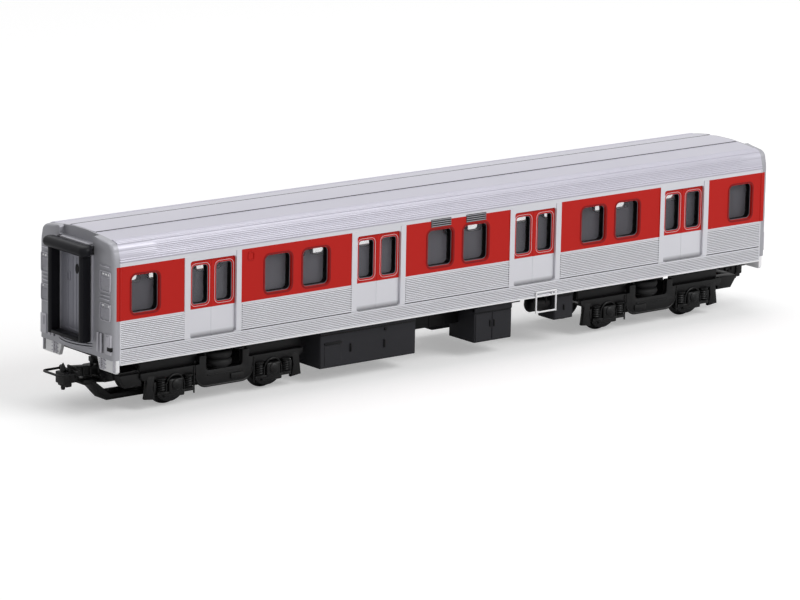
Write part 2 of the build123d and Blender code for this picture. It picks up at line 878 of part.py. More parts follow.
with BuildPart() as loop:
    eye_radius = loop_wire
    arm_inner = loop_half_width - loop_arm
    loop_front = -head_front - loop_reach
    for side in (-1, 1):
        ends = (side * arm_inner, side * loop_half_width)
        box_between(
            (loop_front, -loop_pivot_x),
            (min(ends), max(ends)),
            (loop_height - loop_wire / 2, loop_height + loop_wire / 2),
        )
        with BuildSketch(Plane.XZ.offset(-max(ends))):
            with Locations((-loop_pivot_x, loop_height)):
                Circle(eye_radius)
        extrude(amount=abs(ends[1] - ends[0]))
    box_between(
        (loop_front, loop_front + loop_wire),
        (-loop_half_width, loop_half_width),
        (loop_height - loop_wire / 2, loop_height + loop_wire / 2),
    )
    with BuildSketch(Plane.XZ):
        with Locations((-loop_pivot_x, loop_height)):
            Circle(loop_pin_radius + loop_pin_play)
    extrude(amount=loop_half_width, both=True, mode=Mode.SUBTRACT)
save_both_ends(loop.part, "coupler_loop")
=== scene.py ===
"""Looks of a 1:87 metro car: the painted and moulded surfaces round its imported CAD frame."""

import bmesh
import bpy
import numpy as np
from mathutils import Matrix, Vector


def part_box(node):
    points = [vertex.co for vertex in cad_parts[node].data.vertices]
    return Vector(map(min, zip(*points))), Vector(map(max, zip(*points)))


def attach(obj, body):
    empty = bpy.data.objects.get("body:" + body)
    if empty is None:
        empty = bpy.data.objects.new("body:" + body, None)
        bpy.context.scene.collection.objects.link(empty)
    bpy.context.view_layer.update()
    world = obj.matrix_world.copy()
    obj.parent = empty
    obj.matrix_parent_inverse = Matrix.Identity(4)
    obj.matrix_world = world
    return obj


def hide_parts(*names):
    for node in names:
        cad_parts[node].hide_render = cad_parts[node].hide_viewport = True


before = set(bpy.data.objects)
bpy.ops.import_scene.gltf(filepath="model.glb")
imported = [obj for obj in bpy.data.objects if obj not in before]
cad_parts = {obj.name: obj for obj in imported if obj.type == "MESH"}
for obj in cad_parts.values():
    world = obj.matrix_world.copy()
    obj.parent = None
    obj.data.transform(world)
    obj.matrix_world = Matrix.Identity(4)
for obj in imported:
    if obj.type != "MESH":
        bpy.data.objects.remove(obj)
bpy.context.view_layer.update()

# All sizes below are millimetres in the car's own frame: X along it, Y to its left, Z up.
MM = 0.001
AXES = {"x": (0, 1, 2), "y": (1, 0, 2), "z": (2, 0, 1)}


def box_mm(node):
    """Lowest and highest corner of a CAD node, in millimetres."""
    low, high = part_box(node)
    return np.array(low) / MM, np.array(high) / MM


# ======== surfaces


def quads(rows, cols, round_rows=False, round_cols=False):
    """Corner numbers of the quads of a rows by cols grid, closed round where asked."""
    row = np.arange(rows if round_rows else rows - 1)
    col = np.arange(cols if round_cols else cols - 1)
    row, col = np.meshgrid(row, col, indexing="ij")
    row_up, col_up = (row + 1) % rows, (col + 1) % cols
    corners = (row * cols + col, row * cols + col_up, row_up * cols + col_up, row_up * cols + col)
    return np.stack(corners, -1).reshape(-1, 4)


def merged(*surfaces):
    """Several surfaces as one: their points in one list, their faces renumbered."""
    starts = np.cumsum([0] + [len(points) for points, _ in surfaces])
    points = np.concatenate([points for points, _ in surfaces])
    return points, [f + start for (_, faces), start in zip(surfaces, starts) for f in faces]


def copies(surface, places):
    """The same surface moved to each of several places."""
    points, faces = surface
    return merged(*[(points + np.array(place, float), faces) for place in places])


def mirrored(surface, axis):
    """A surface reflected in the plane across one axis, its faces turned to point out again."""
    points, faces = surface
    flip = np.ones(3)
    flip["xyz".index(axis)] = -1
    return points * flip, [f[:, ::-1] for f in faces]


def doubled(surface, axis="y"):
    """A surface and its mirror image across one axis, as one."""
    return merged(surface, mirrored(surface, axis))


def around(middle, half):
    """The two ends of a span about its middle."""
    return middle - half, middle + half


def in_space(axis, along, flat):
    """Points from their place along an axis and their two coordinates across it."""
    along, flat = np.broadcast_arrays(np.asarray(along, float)[..., None], flat)
    points = np.empty(flat.shape[:-1] + (3,))
    first, second, third = AXES[axis]
    points[..., first] = along[..., 0]
    points[..., second] = flat[..., 0]
    points[..., third] = flat[..., 1]
    return points


LEAST_SHARE = 0.3  # cuts short the way out of a very sharp corner


def corner_normals(outline):
    """At each corner of a closed outline, the way out along which it grows by one unit on both sides."""
    following = np.roll(outline, -1, 0)
    ahead = following - outline
    ahead /= np.linalg.norm(ahead, axis=1, keepdims=True)
    out = np.stack([ahead[:, 1], -ahead[:, 0]], 1)
    both = out + np.roll(out, 1, 0)
    both /= np.maximum((both * out).sum(1, keepdims=True), LEAST_SHARE)
    twice_area = (outline[:, 0] * following[:, 1] - outline[:, 1] * following[:, 0]).sum()
    return both * np.sign(twice_area)


def rounded(centre, width, height, radius, steps=5):
    """Outline of a rounded rectangle: a quarter circle about each of its four corner centres."""
    turn = np.linspace(0, np.pi / 2, steps)
    quarter = np.arange(4)[:, None] * np.pi / 2 + turn
    inner = np.array([width / 2 - radius, height / 2 - radius])
    signs = np.array([[1, 1], [-1, 1], [-1, -1], [1, -1]])[:, None, :]
    circle = np.stack([np.cos(quarter), np.sin(quarter)], -1)
    return (np.array(centre) + signs * inner + radius * circle).reshape(-1, 2)


def arc_through(start, middle, end, count):
    """Points of the circle arc through three points, from the circle's centre and the two end angles."""
    start, middle, end = (np.array(p, float) for p in (start, middle, end))
    sides = np.stack([middle - start, end - start]) * 2
    squares = np.array([(middle**2 - start**2).sum(), (end**2 - start**2).sum()])
    centre = np.linalg.solve(sides, squares)
    angle = np.unwrap([np.arctan2(*(p - centre)[::-1]) for p in (start, middle, end)])
    turn = np.linspace(angle[0], angle[2], count)
    return centre + np.linalg.norm(start - centre) * np.stack([np.cos(turn), np.sin(turn)], 1)


def rounding(corner, first, second, radius, count):
    """The quarter circle that rounds off a square corner, from its side one way to its side the other."""
    corner, first, second = (np.array(v, float) for v in (corner, first, second))
    near = radius * (1 - np.sqrt(0.5))
    middle = corner + near * (first + second)
    return arc_through(corner + radius * first, middle, corner + radius * second, count)


def carried(outline, axis, stations, share=1.0):
    """A closed outline carried along an axis; each station is (place, how far the outline draws in).
    The share says how much of that each point of the outline takes."""
    outline = np.array(outline, float)
    place, inset = np.array(stations, float).T
    share = np.broadcast_to(share, len(outline))[None, :, None]
    flat = outline - inset[:, None, None] * share * corner_normals(outline)
    points = in_space(axis, place[:, None], flat).reshape(-1, 3)
    rows, cols = len(place), len(outline)
    first, last = np.arange(cols)[None], np.arange(cols)[None] + (rows - 1) * cols
    return points, [quads(rows, cols, round_cols=True), first, last]


def eased(low, high, radius, steps=3):
    """Stations from low to high whose two ends draw in along a quarter circle of a radius."""
    turn = np.linspace(0, np.pi / 2, steps)
    place, inset = radius * (1 - np.cos(turn)), radius * (1 - np.sin(turn))
    return np.concatenate([np.stack([low + place, inset], 1), np.stack([high - place, inset], 1)[::-1]])


def block(x, y, z, edge=0.12, axis="x", steps=3):
    """A block between (low, high) along each axis, all its edges rounded to one radius."""
    spans = np.array([x, y, z], float)
    spans.sort(axis=1)
    first, second, third = AXES[axis]
    low, high = spans[[second, third]].T
    outline = rounded((low + high) / 2, *(high - low), edge, steps)
    return carried(outline, axis, eased(*spans[first], edge, steps))


def raised(face, low, high, out, back=0.1):
    """Section of a square bead on the wall at -face: from low to high off its outline, and this far out."""
    return [(low, -face + back), (low, -face - out), (high, -face - out), (high, -face + back)]


def rim(outline, section, axis="y"):
    """A closed section, (offset from the outline, place along the axis), carried round a closed outline."""
    outline, section = np.array(outline, float), np.array(section, float)
    flat = outline[:, None] + section[None, :, :1] * corner_normals(outline)[:, None]
    points = in_space(axis, section[None, :, 1], flat).reshape(-1, 3)
    return points, [quads(len(outline), len(section), True, True)]


def rims(outlines, section):
    """The same section carried round each of several outlines on the car's side."""
    return merged(*[rim(outline, section) for outline in outlines])


def turned(profile, centre, axis, sides=24):
    """A profile of (radius, place along the axis) turned about an axis; its ends lie on the axis."""
    profile = np.array(profile, float)
    turn = np.arange(sides) * 2 * np.pi / sides
    circle = np.stack([np.cos(turn), np.sin(turn)], -1)
    flat = profile[:, None, :1] * circle[None]
    points = in_space(axis, profile[:, None, 1], flat) + np.array(centre, float)
    return points.reshape(-1, 3), [quads(len(profile), sides, round_cols=True)]


# a direction that no bar here runs along
SKEW = np.array([0.31, 0.17, 0.93])


def tube(path, radius, sides=10):
    """A round bar along a path: a circle set square to the path at each of its points, with flat ends."""
    path = np.array(path, float)
    along = np.gradient(path, axis=0)
    along /= np.linalg.norm(along, axis=1, keepdims=True)
    side = np.cross(along, SKEW)
    side /= np.linalg.norm(side, axis=1, keepdims=True)
    other = np.cross(along, side)
    turn = np.arange(sides) * 2 * np.pi / sides
    ring = np.cos(turn)[None, :, None] * side[:, None] + np.sin(turn)[None, :, None] * other[:, None]
    points = (path[:, None] + radius * ring).reshape(-1, 3)
    first, last = np.arange(sides)[None], np.arange(sides)[None] + (len(path) - 1) * sides
    return points, [quads(len(path), sides, round_cols=True), first, last]


COIL_STEPS = 14


def helix(radius, low, high, coils, wire):
    """An upright coil spring: a round wire along a helix that climbs evenly from low to high."""
    turn = np.linspace(0, 2 * np.pi * coils, int(coils * COIL_STEPS) + 1)
    flat = radius * np.stack([np.cos(turn), np.sin(turn)], -1)
    return tube(in_space("z", np.linspace(low, high, len(turn)), flat), wire, 6)


SAME_POINT = 2e-7  # metres


def piece(name, surface, material, body, replaced=(), smooth_angle=40):
    """One finished piece: the surface as a mesh in metres, closed, facing out, riding on a body."""
    points, faces = surface
    mesh = bpy.data.meshes.new(name)
    mesh.from_pydata((points * MM).tolist(), [], [row for f in faces for row in f.tolist()])
    work = bmesh.new()
    work.from_mesh(mesh)
    bmesh.ops.remove_doubles(work, verts=work.verts, dist=SAME_POINT)
    bmesh.ops.recalc_face_normals(work, faces=work.faces)
    work.to_mesh(mesh)
    work.free()
    mesh.shade_smooth()
    mesh.set_sharp_from_angle(angle=np.radians(smooth_angle))
    mesh.materials.append(material)
    made = bpy.data.objects.new(name, mesh)
    bpy.context.scene.collection.objects.link(made)
    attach(made, body)
    if replaced:
        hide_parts(*replaced)


# ======== materials


def linear(code, alpha=1.0):
    """A hex sRGB colour as the linear numbers that the shader reads."""
    value = np.array([int(code[i : i + 2], 16) for i in (1, 3, 5)]) / 255
    value = np.where(value <= 0.04045, value / 12.92, ((value + 0.055) / 1.055) ** 2.4)
    return (*value.tolist(), alpha)


def add(tree, kind, settings=(), **inputs):
    """One shader node: settings are its own switches, inputs are numbers or (node, output) links.
    An input is called by its socket's name, or in0, in1 and so on where names repeat."""
    made = tree.nodes.new("ShaderNode" + kind)
    for key, value in dict(settings).items():
        setattr(made, key, value)
    for key, value in inputs.items():
        numbered = key.startswith("in") and key[2:].isdigit()
        socket = made.inputs[int(key[2:]) if numbered else key.replace("_", " ")]
        if isinstance(value, tuple) and isinstance(value[0], bpy.types.Node):
            tree.links.new(value[0].outputs[value[1]], socket)
        else:
            socket.default_value = value
    return made


MULTIPLIED = {"data_type": "RGBA", "blend_type": "MULTIPLY"}
CLOUD = 9.0


def finish(name, colour, roughness, metallic=0.0, grain=0.15, bump=0.004, mottle=0.03, **sockets):
    """A moulded or painted surface: colour mottled by clouds a few mm wide, and a fine grain in the gloss."""
    made = bpy.data.materials.new(name)
    made.use_nodes = True
    tree = made.node_tree
    shader = tree.nodes["Principled BSDF"]
    shader.inputs["Roughness"].default_value = roughness
    shader.inputs["Metallic"].default_value = metallic
    for key, value in sockets.items():
        shader.inputs[key.replace("_", " ")].default_value = value
    place = add(tree, "TexCoord")
    pits = add(tree, "TexNoise", Vector=(place, "Object"), Scale=1 / (grain * MM), Detail=2.0)
    cloud = add(tree, "TexNoise", Vector=(place, "Object"), Scale=1 / (CLOUD * MM), Detail=3.0)
    tone = add(tree, "MapRange", Value=(cloud, "Fac"), To_Min=1 - mottle, To_Max=1 + mottle)
    base = add(tree, "Mix", MULTIPLIED, Factor=1.0, in6=linear(colour), in7=(tone, "Result"))
    tree.links.new(base.outputs[2], shader.inputs["Base Color"])
    relief = add(tree, "Bump", Height=(pits, "Fac"), Distance=bump * MM, Strength=1.0)
    tree.links.new(relief.outputs["Normal"], shader.inputs["Normal"])
    return made


# satin silver lacquer on moulded polystyrene: pale, faintly metallic, a soft broad sheen
silver = finish("satin_silver_lacquer", "#C2C1C8", 0.42, 0.25)
# the same lacquer on the doors and pillars, laid on smoother and a shade lighter
silver_smooth = finish("smooth_silver_lacquer", "#DEDEE4", 0.38, 0.2)
# moulded-in silver grey of the roof shell
silver_roof = finish("silver_roof_moulding", "#C4C2CE", 0.34, 0.2)
# black styrene of the floor and its boxes: matt, just lighter than black where light grazes
black_styrene = finish("black_styrene", "#0B0B0C", 0.5, bump=0.006, mottle=0.1, Specular_IOR_Level=0.2)
# black acetal of bogies and couplers: waxy, slightly glossier
black_acetal = finish("black_acetal", "#0D0D0E", 0.42, bump=0.005, mottle=0.1, Specular_IOR_Level=0.25)
# the same black styrene on the equipment boxes, whose spark-eroded mould leaves a dusty grey sheen
black_equipment = finish(
    "spark_textured_styrene", "#232327", 0.6, grain=0.12, bump=0.01, mottle=0.08, Specular_IOR_Level=0.25
)
# soft black vinyl of the gangway surrounds
gangway_vinyl = finish("gangway_vinyl", "#1D1D21", 0.32, bump=0.008, mottle=0.08, Specular_IOR_Level=0.1)
# turned mild steel of axles, pins and the ballast plate
turned_steel = finish("turned_steel", "#8F8F8F", 0.32, 1.0)
# moulded black rubber of the bellows, the mattest of the blacks
bellows_rubber = finish("bellows_rubber", "#131314", 0.6, bump=0.01, mottle=0.1, Specular_IOR_Level=0.3)
# the silver lacquer painted darker on the body ends: painted shade, as the ends stand out of the lamps' light
silver_end_shade = finish("grey_end_lacquer", "#ACACB2", 0.42, 0.25)
# a lighter copy of the silver lacquer, a painted highlight: along the sill's lower edge, on the corner plates
# and on the step bars
painted_highlight_silver = finish("bright_sill_lacquer", "#F6F6F8", 0.35)
# a darker copy of the red print for the raised frames of the side windows: painted shade round each window
frame_red_shade = finish("window_frame_painted_shade", "#861416", 0.45, Specular_IOR_Level=0.2)
# burnished black wheels
blackened_steel = finish("blackened_steel", "#1B1B1D", 0.3, 0.6)
# joints between the side panels: narrow and deep, so no light comes out of them
joint_shadow = finish("panel_joint_shade", "#18181B", 0.7, Specular_IOR_Level=0.2)
# the silver painted darker on the end doors: painted shade, deep in the gangways
end_door_shade_grey = finish("end_door_shade_grey", "#92929C", 0.4, 0.2)
# polished heads of the hatch rivets
rivet_bright = finish("rivet_bright", "#F4F4F6", 0.2, 0.6, mottle=0.0)
# the sides of the glazing mouldings, painted near-black as painted shade, and the pale rim of each pane, a
# painted highlight
glazing_edge_shade = finish("glazing_moulding_side_shade", "#060607", 0.5, mottle=0.0, Specular_IOR_Level=0.1)
pane_edge_highlight = finish("glazing_pane_edge", "#9A9AA2", 0.2)

# red pad-printed paint over the silver, and the bare grey styrene of the inside walls
RED = "#BF201A"
INNER_GREY = "#E2E2E8"

# clear moulded styrene of the panes: thin, faintly grey, with a hard gloss
PANE_OPACITY, PANE_ROUGHNESS = 0.11, 0.04
clear_styrene = bpy.data.materials.new("clear_styrene")
clear_styrene.use_nodes = True
pane_shader = clear_styrene.node_tree.nodes["Principled BSDF"]
pane_shader.inputs["Base Color"].default_value = linear("#B6B6C0")
pane_shader.inputs["Roughness"].default_value = PANE_ROUGHNESS
pane_shader.inputs["Alpha"].default_value = PANE_OPACITY

# ======== stage, light and camera

CAMERA_PLACE = (-0.7720, -0.9630, 0.30054)
CAMERA_FORWARD = Vector((0.60604, 0.76267, -0.22594))
CAMERA_RIGHT = Vector((0.78536, -0.61880, 0.01779))
PHOTO_WIDTH_PX = 800
FOCAL_PX = 4528.8
SENSOR_WIDTH_MM = 36.0
CAMERA_SHIFT = (0.0008, 0.0018)

camera_data = bpy.data.cameras.new("camera")
camera_data.sensor_width = SENSOR_WIDTH_MM
camera_data.lens = FOCAL_PX * SENSOR_WIDTH_MM / PHOTO_WIDTH_PX
camera_data.shift_x = CAMERA_SHIFT[0]
camera_data.shift_y = CAMERA_SHIFT[1]
camera_data.clip_start = 0.01
camera_data.clip_end = 20
camera = bpy.data.objects.new("camera", camera_data)
bpy.context.scene.collection.objects.link(camera)
forward = CAMERA_FORWARD.normalized()
right = (CAMERA_RIGHT - CAMERA_RIGHT.dot(forward) * forward).normalized()
upward = right.cross(forward)
camera_turn = Matrix((right, upward, -forward)).transposed().to_4x4()
camera.matrix_world = Matrix.Translation(CAMERA_PLACE) @ camera_turn
bpy.context.scene.camera = camera
bpy.context.scene.view_settings.view_transform = "Standard"


def area_lamp(name, place, size, power):
    """A soft square lamp that looks at the middle of the car."""
    data = bpy.data.lights.new(name, "AREA")
    data.shape = "SQUARE"
    data.size = size
    data.energy = power
    lamp = bpy.data.objects.new(name, data)
    bpy.context.scene.collection.objects.link(lamp)
    lamp.location = place
    lamp.rotation_euler = (CAR_MIDDLE - Vector(place)).to_track_quat("-Z", "Y").to_euler()


CAR_MIDDLE = Vector((0, 0, 0.03))
area_lamp("key_lamp", (0.6, -1.2, 1.1), size=1.0, power=16)
area_lamp("top_lamp", (0.1, 0.5, 1.5), size=1.2, power=9)

world = bpy.data.worlds.new("studio")
bpy.context.scene.world = world
world.use_nodes = True
sky = world.node_tree
background = sky.nodes["Background"]
background.inputs["Color"].default_value = (1, 1, 1, 1)
rays = add(sky, "LightPath")
seen = add(sky, "Math", {"operation": "MAXIMUM"}, in0=(rays, "Is Camera Ray"), in1=(rays, "Is Glossy Ray"))
seen = add(sky, "Math", {"operation": "MAXIMUM"}, in0=(seen, 0), in1=(rays, "Is Transmission Ray"))
WORLD_FILL = 0.27
level = add(sky, "MapRange", Value=(seen, 0), To_Min=WORLD_FILL, To_Max=1.0)
sky.links.new(level.outputs["Result"], background.inputs["Strength"])

FLOOR_HALF = 6.0
floor_mesh = bpy.data.meshes.new("floor")
corners = [(x * FLOOR_HALF, y * FLOOR_HALF, 0) for x, y in ((-1, -1), (1, -1), (1, 1), (-1, 1))]
floor_mesh.from_pydata(corners, [], [(0, 1, 2, 3)])
floor = bpy.data.objects.new("floor", floor_mesh)
bpy.context.scene.collection.objects.link(floor)
floor_material = bpy.data.materials.new("studio_floor")
floor_material.use_nodes = True
floor_tree = floor_material.node_tree
floor_shader = floor_tree.nodes["Principled BSDF"]
floor_shader.inputs["Base Color"].default_value = linear("#E6E6E6")
floor_shader.inputs["Roughness"].default_value = 0.9
floor_shader.inputs["Emission Color"].default_value = (1, 1, 1, 1)
floor_rays = add(floor_tree, "LightPath")
FLOOR_LIFT = 0.35
lift = add(floor_tree, "Math", {"operation": "MULTIPLY"}, in0=(floor_rays, "Is Camera Ray"), in1=FLOOR_LIFT)
floor_tree.links.new(lift.outputs[0], floor_shader.inputs["Emission Strength"])
floor_mesh.materials.append(floor_material)

# ======== the livery on the CAD sides, ends and doors

RED_LOW, RED_HIGH = 26.98, 41.45
# red panels as (middle, half width) of |x|: between the middle doors, between each pair, and to the ends
RED_PANELS = ((0, 18.49), (55.65, 18.55), (103.64, 10.88))
# the print lies outside this |y|; inside the other one the walls are bare styrene
PAINTED_OUTSIDE, BARE_INSIDE = 16.2, 15.9
# heights between which painted shade darkens the door leaves towards their foot, down to a share of their
# colour
DOOR_FOOT, FOOT_SHADE_SHARE = (19.3, 20.8), 0.3
LACQUER_METAL, LACQUER_SPECULAR = 0.25, 0.15


def overcoat(name, under):
    """A copy of a finish to paint over: its tree, shader and colour, and the place on the car in mm."""
    made = under.copy()
    made.name = name
    tree = made.node_tree
    shader = tree.nodes["Principled BSDF"]
    colour = (shader.inputs["Base Color"].links[0].from_node, 2)
    place = add(tree, "TexCoord")
    size = add(tree, "VectorMath", {"operation": "SCALE"}, in0=(place, "Object"), Scale=1 / MM)
    place = add(tree, "SeparateXYZ", Vector=(size, 0))
    return made, tree, shader, colour, place


def groove_shaded(name, under, low, high, least):
    """A finish darkened by painted shade at the back of its grooves: its colour falls to a share of itself
    from |y| high to low.
    """
    made, tree, shader, colour, place = overcoat(name, under)
    across = add(tree, "Math", {"operation": "ABSOLUTE"}, in0=(place, "Y"))
    depth = add(tree, "MapRange", Value=(across, 0), From_Min=low, From_Max=high, To_Min=least, To_Max=1.0)
    shaded = add(tree, "Mix", MULTIPLIED, Factor=1.0, in6=colour, in7=(depth, "Result"))
    tree.links.new(shaded.outputs[2], shader.inputs["Base Color"])
    return made


def livery(name, under, panels, bare_inside, foot=None):
    """Silver lacquer with the red print between two heights and in the spans of |x|; grey inside the car.
    With a foot, painted shade darkens the silver towards the bottom.
    """
    made, tree, shader, colour, place = overcoat(name, under)
    along = add(tree, "Math", {"operation": "ABSOLUTE"}, in0=(place, "X"))
    across = add(tree, "Math", {"operation": "ABSOLUTE"}, in0=(place, "Y"))
    mask = add(tree, "Math", {"operation": "GREATER_THAN"}, in0=(across, 0), in1=PAINTED_OUTSIDE)
    middle, half = (RED_HIGH + RED_LOW) / 2, (RED_HIGH - RED_LOW) / 2
    printed = [add(tree, "Math", {"operation": "COMPARE"}, in0=(place, "Z"), in1=middle, in2=half)]
    if panels:
        spans = [
            add(tree, "Math", {"operation": "COMPARE"}, in0=(along, 0), in1=centre, in2=width)
            for centre, width in panels
        ]
        while len(spans) > 1:
            pair = [(spans.pop(), 0), (spans.pop(), 0)]
            spans.append(add(tree, "Math", {"operation": "MAXIMUM"}, in0=pair[0], in1=pair[1]))
        printed += spans
    for limit in printed:
        mask = add(tree, "Math", {"operation": "MULTIPLY"}, in0=(mask, 0), in1=(limit, 0))
    # painted shade at the foot of the door leaves, darker towards the bottom
    if foot:
        fade = {"From_Min": foot[0], "From_Max": foot[1], "To_Min": FOOT_SHADE_SHARE, "To_Max": 1.0}
        foot_shade = add(tree, "MapRange", Value=(place, "Z"), **fade)
        shaded = add(tree, "Mix", MULTIPLIED, Factor=1.0, in6=colour, in7=(foot_shade, "Result"))
        colour = (shaded, 2)
    painted = add(tree, "Mix", {"data_type": "RGBA"}, Factor=(mask, 0), in6=colour, in7=linear(RED))
    bare = add(tree, "Math", {"operation": "LESS_THAN"}, in0=(across, 0), in1=bare_inside)
    grey = linear(INNER_GREY)
    inside = add(tree, "Mix", {"data_type": "RGBA"}, Factor=(bare, 0), in6=(painted, 2), in7=grey)
    tree.links.new(inside.outputs[2], shader.inputs["Base Color"])
    switch = {"operation": "MULTIPLY_ADD"}
    metal = add(tree, "Math", switch, in0=(mask, 0), in1=-LACQUER_METAL, in2=LACQUER_METAL)
    tree.links.new(metal.outputs[0], shader.inputs["Metallic"])
    shader.inputs["Specular IOR Level"].default_value = LACQUER_SPECULAR
    return made


side_livery = livery("side_livery", silver_smooth, RED_PANELS, BARE_INSIDE)
door_livery = livery("door_livery", silver_smooth, (), BARE_INSIDE, DOOR_FOOT)
# the ends' livery is laid over the silver painted darker as shade
end_livery = livery("end_livery", silver_end_shade, RED_PANELS, 0.0)

CAD_FINISHES = {
    "body_side": side_livery,
    "door_pair": door_livery,
    "end_wall": end_livery,
    "end_door": silver,
    "roof": silver_roof,
    "step_frame": silver_smooth,
    "glazing": clear_styrene,
    "gangway": gangway_vinyl,
    "ballast_plate": turned_steel,
    "kingpin": turned_steel,
    "axle": turned_steel,
    "wheels": blackened_steel,
    "bogie_frame": black_acetal,
    "coupler": black_acetal,
}
for node_name, node_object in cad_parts.items():
    chosen = [m for start, m in CAD_FINISHES.items() if node_name.startswith(start)]
    node_object.data.materials.clear()
    node_object.data.materials.append(chosen[0] if chosen else black_styrene)

# ======== body: driving sizes from the frame

side_low, side_high = box_mm("body_side_right")
SILL, GUTTER = side_low[2], side_high[2]
door_boxes = [box_mm(f"door_pair_{n}_right") for n in (1, 2, 3, 4)]
DOORS = [float(low[0] + high[0]) / 2 for low, high in door_boxes]
DOOR_HALF = float(door_boxes[0][1][0] - door_boxes[0][0][0]) / 2
DOOR_FACE = -float(door_boxes[0][0][1])
BODY_END = 115.6
WALL = 17.1
PILLAR = 1.8
ROOT = 0.3  # how far what stands on a face reaches in behind it


def on_sides(name, right, material, replaced=()):
    """A car piece on the right side and its mirror image on the left."""
    for side, surface in (("right", right), ("left", mirrored(right, "y"))):
        piece(f"{name}_{side}", surface, material, "car", [f"{n}_{side}" for n in replaced])


def on_ends(name, rear, material, body="car", replaced=(), smooth_angle=40):
    """A piece at the rear end and its mirror image at the front, riding on the car or that end's body."""
    for end, surface in (("rear", rear), ("front", mirrored(rear, "x"))):
        ridden = body if body == "car" else f"{body}_{end}"
        nodes = [f"{n}_{end}" for n in replaced]
        piece(f"{name}_{end}", surface, material, ridden, nodes, smooth_angle)


# ---- ribbed side panels: ribs, the smooth strips beside the joint over the skirt, and the dark joints ----
RIB_PITCH, RIB_HEIGHT, RIB_STEPS = 0.5, 0.2, 6
RIB_FULLNESS = 0.7  # power of the sine that shapes a rib: 1 is the plain wave, less is fuller
SKIRT_RIBS, PANEL_RIBS = (SILL + 0.34, 18.8), (20.05, 26.55)
SKIRT_STRIP, PANEL_STRIP = (18.84, 19.3), (19.56, 20.02)
STRIP_FACE = WALL + RIB_HEIGHT
END_STRIP = 2.3


def ribbed(x, low, high, pitch=RIB_PITCH):
    """A ribbed sheet on the right wall: half-round ribs of one pitch, stacked between two heights."""
    ribs = round((high - low) / pitch)
    height = np.linspace(low, high, ribs * RIB_STEPS + 1)
    wave = np.abs(np.sin(np.pi * ribs * (height - low) / (high - low))) ** RIB_FULLNESS
    front = np.stack([-WALL - RIB_HEIGHT * wave, height], 1)
    outline = np.concatenate([front, [(-WALL + 0.2, high), (-WALL + 0.2, low)]])
    return carried(outline, "x", [(end, 0) for end in x])


def sheet(x, z, face, edge=0.04):
    """A thin raised sheet on the right wall between two places along it and two heights."""
    return block(x, (-face, -WALL + ROOT), z, edge, "x", 2)


panel_edges = [-BODY_END + END_STRIP]
for door in DOORS:
    panel_edges += around(door, DOOR_HALF + PILLAR)
panel_edges.append(BODY_END - END_STRIP)
panel_spans = list(zip(panel_edges[::2], panel_edges[1::2]))
whole_length = (panel_edges[0], panel_edges[-1])
ribs = merged(
    *[ribbed(span, *PANEL_RIBS) for span in panel_spans],
    ribbed(whole_length, *SKIRT_RIBS),
    sheet(whole_length, SKIRT_STRIP, STRIP_FACE),
    *[sheet(span, PANEL_STRIP, STRIP_FACE) for span in panel_spans],
)
# painted shade between the ribs: the silver darkens towards the back of each groove
ribbed_silver = groove_shaded("ribbed_silver_groove_shade", silver_smooth, WALL, WALL + RIB_HEIGHT, 0.25)
on_sides("side_ribs", ribs, ribbed_silver)
# the joint over the skirt lies behind the ribs' crests, those beside the doors nearly level with them
JOINT, LONG_JOINT_FACE, DOOR_JOINT_FACE = 0.12, WALL + 0.04, WALL + 0.16
long_joint = (SKIRT_STRIP[1] - JOINT / 2, PANEL_STRIP[0])
door_joint = (SKIRT_STRIP[1], PANEL_RIBS[1])
joints = merged(
    *[sheet(span, long_joint, LONG_JOINT_FACE, 0.02) for span in panel_spans],
    *[
        sheet(around(x, JOINT), door_joint, DOOR_JOINT_FACE, 0.02)
        for low, high in panel_spans[1:-1]
        for x in (low + JOINT, high - JOINT)
    ],
)
on_sides("panel_joints", joints, joint_shadow)
# round beads down the body's four corners, and a square one along the sill
CORNER_BEAD = 0.28
SILL_BEAD_OUT, SILL_BEAD_HEIGHT = 0.35, 0.36
bead = tube([(0, 0, SILL + 0.1), (0, 0, GUTTER)], CORNER_BEAD, 12)
edge_beads = copies(bead, [(x, -WALL + 0.1, 0) for x in whole_length])
on_sides("edge_beads", edge_beads, side_livery)
# the sill bead in the painted-highlight silver
sill_bead = block(whole_length, (-WALL - SILL_BEAD_OUT, -WALL + ROOT), (SILL, SILL + SILL_BEAD_HEIGHT), 0.06)
on_sides("sill_bead", sill_bead, painted_highlight_silver)

# ---- doors: silver beads round the leaf windows, and beads down the middle joint in the doors' own print ----
LEAF_SIZE, LEAF_CORNER, LEAF_SPREAD = (5.2, 10.6), 1.0, 3.9
WINDOW_TOP = GUTTER - 3.6
MIDDLE_BEAD = 0.34


def hung_windows(places, size, corner):
    """Outlines of windows of one size along the car, their top edges at one height."""
    return [rounded((x, WINDOW_TOP - size[1] / 2), *size, corner) for x in places]


leaf_x = [x for door in DOORS for x in around(door, LEAF_SPREAD)]
leaf_outlines = hung_windows(leaf_x, LEAF_SIZE, LEAF_CORNER)
leaf_bead = raised(DOOR_FACE, 0.42, 0.51, 0.07)
on_sides("door_beads", rims(leaf_outlines, leaf_bead), silver_smooth)
bead_y, bead_z = (-DOOR_FACE - 0.08, -DOOR_FACE + 0.1), (DOOR_FOOT[0], WINDOW_TOP + 1.2)
middle_beads = merged(*[block(around(door, MIDDLE_BEAD), bead_y, bead_z, 0.06, "z", 2) for door in DOORS])
on_sides("door_middle_beads", middle_beads, door_livery)

# ---- roof shell: shoulder, tight turn, crest and raised middle panel, as (y, z) of the left half ----
SHOULDER, TURN, CREST = (16.5, 45.5), (15.8, 47.05), (14.2, 47.85)
PANEL_EDGE = (6.35, 48.7)
FLANK_BULGE = 0.12
FLANK_POINTS, TURN_POINTS = 61, 41
ROOF_WALL, INNER_STEP = 1.3, 8
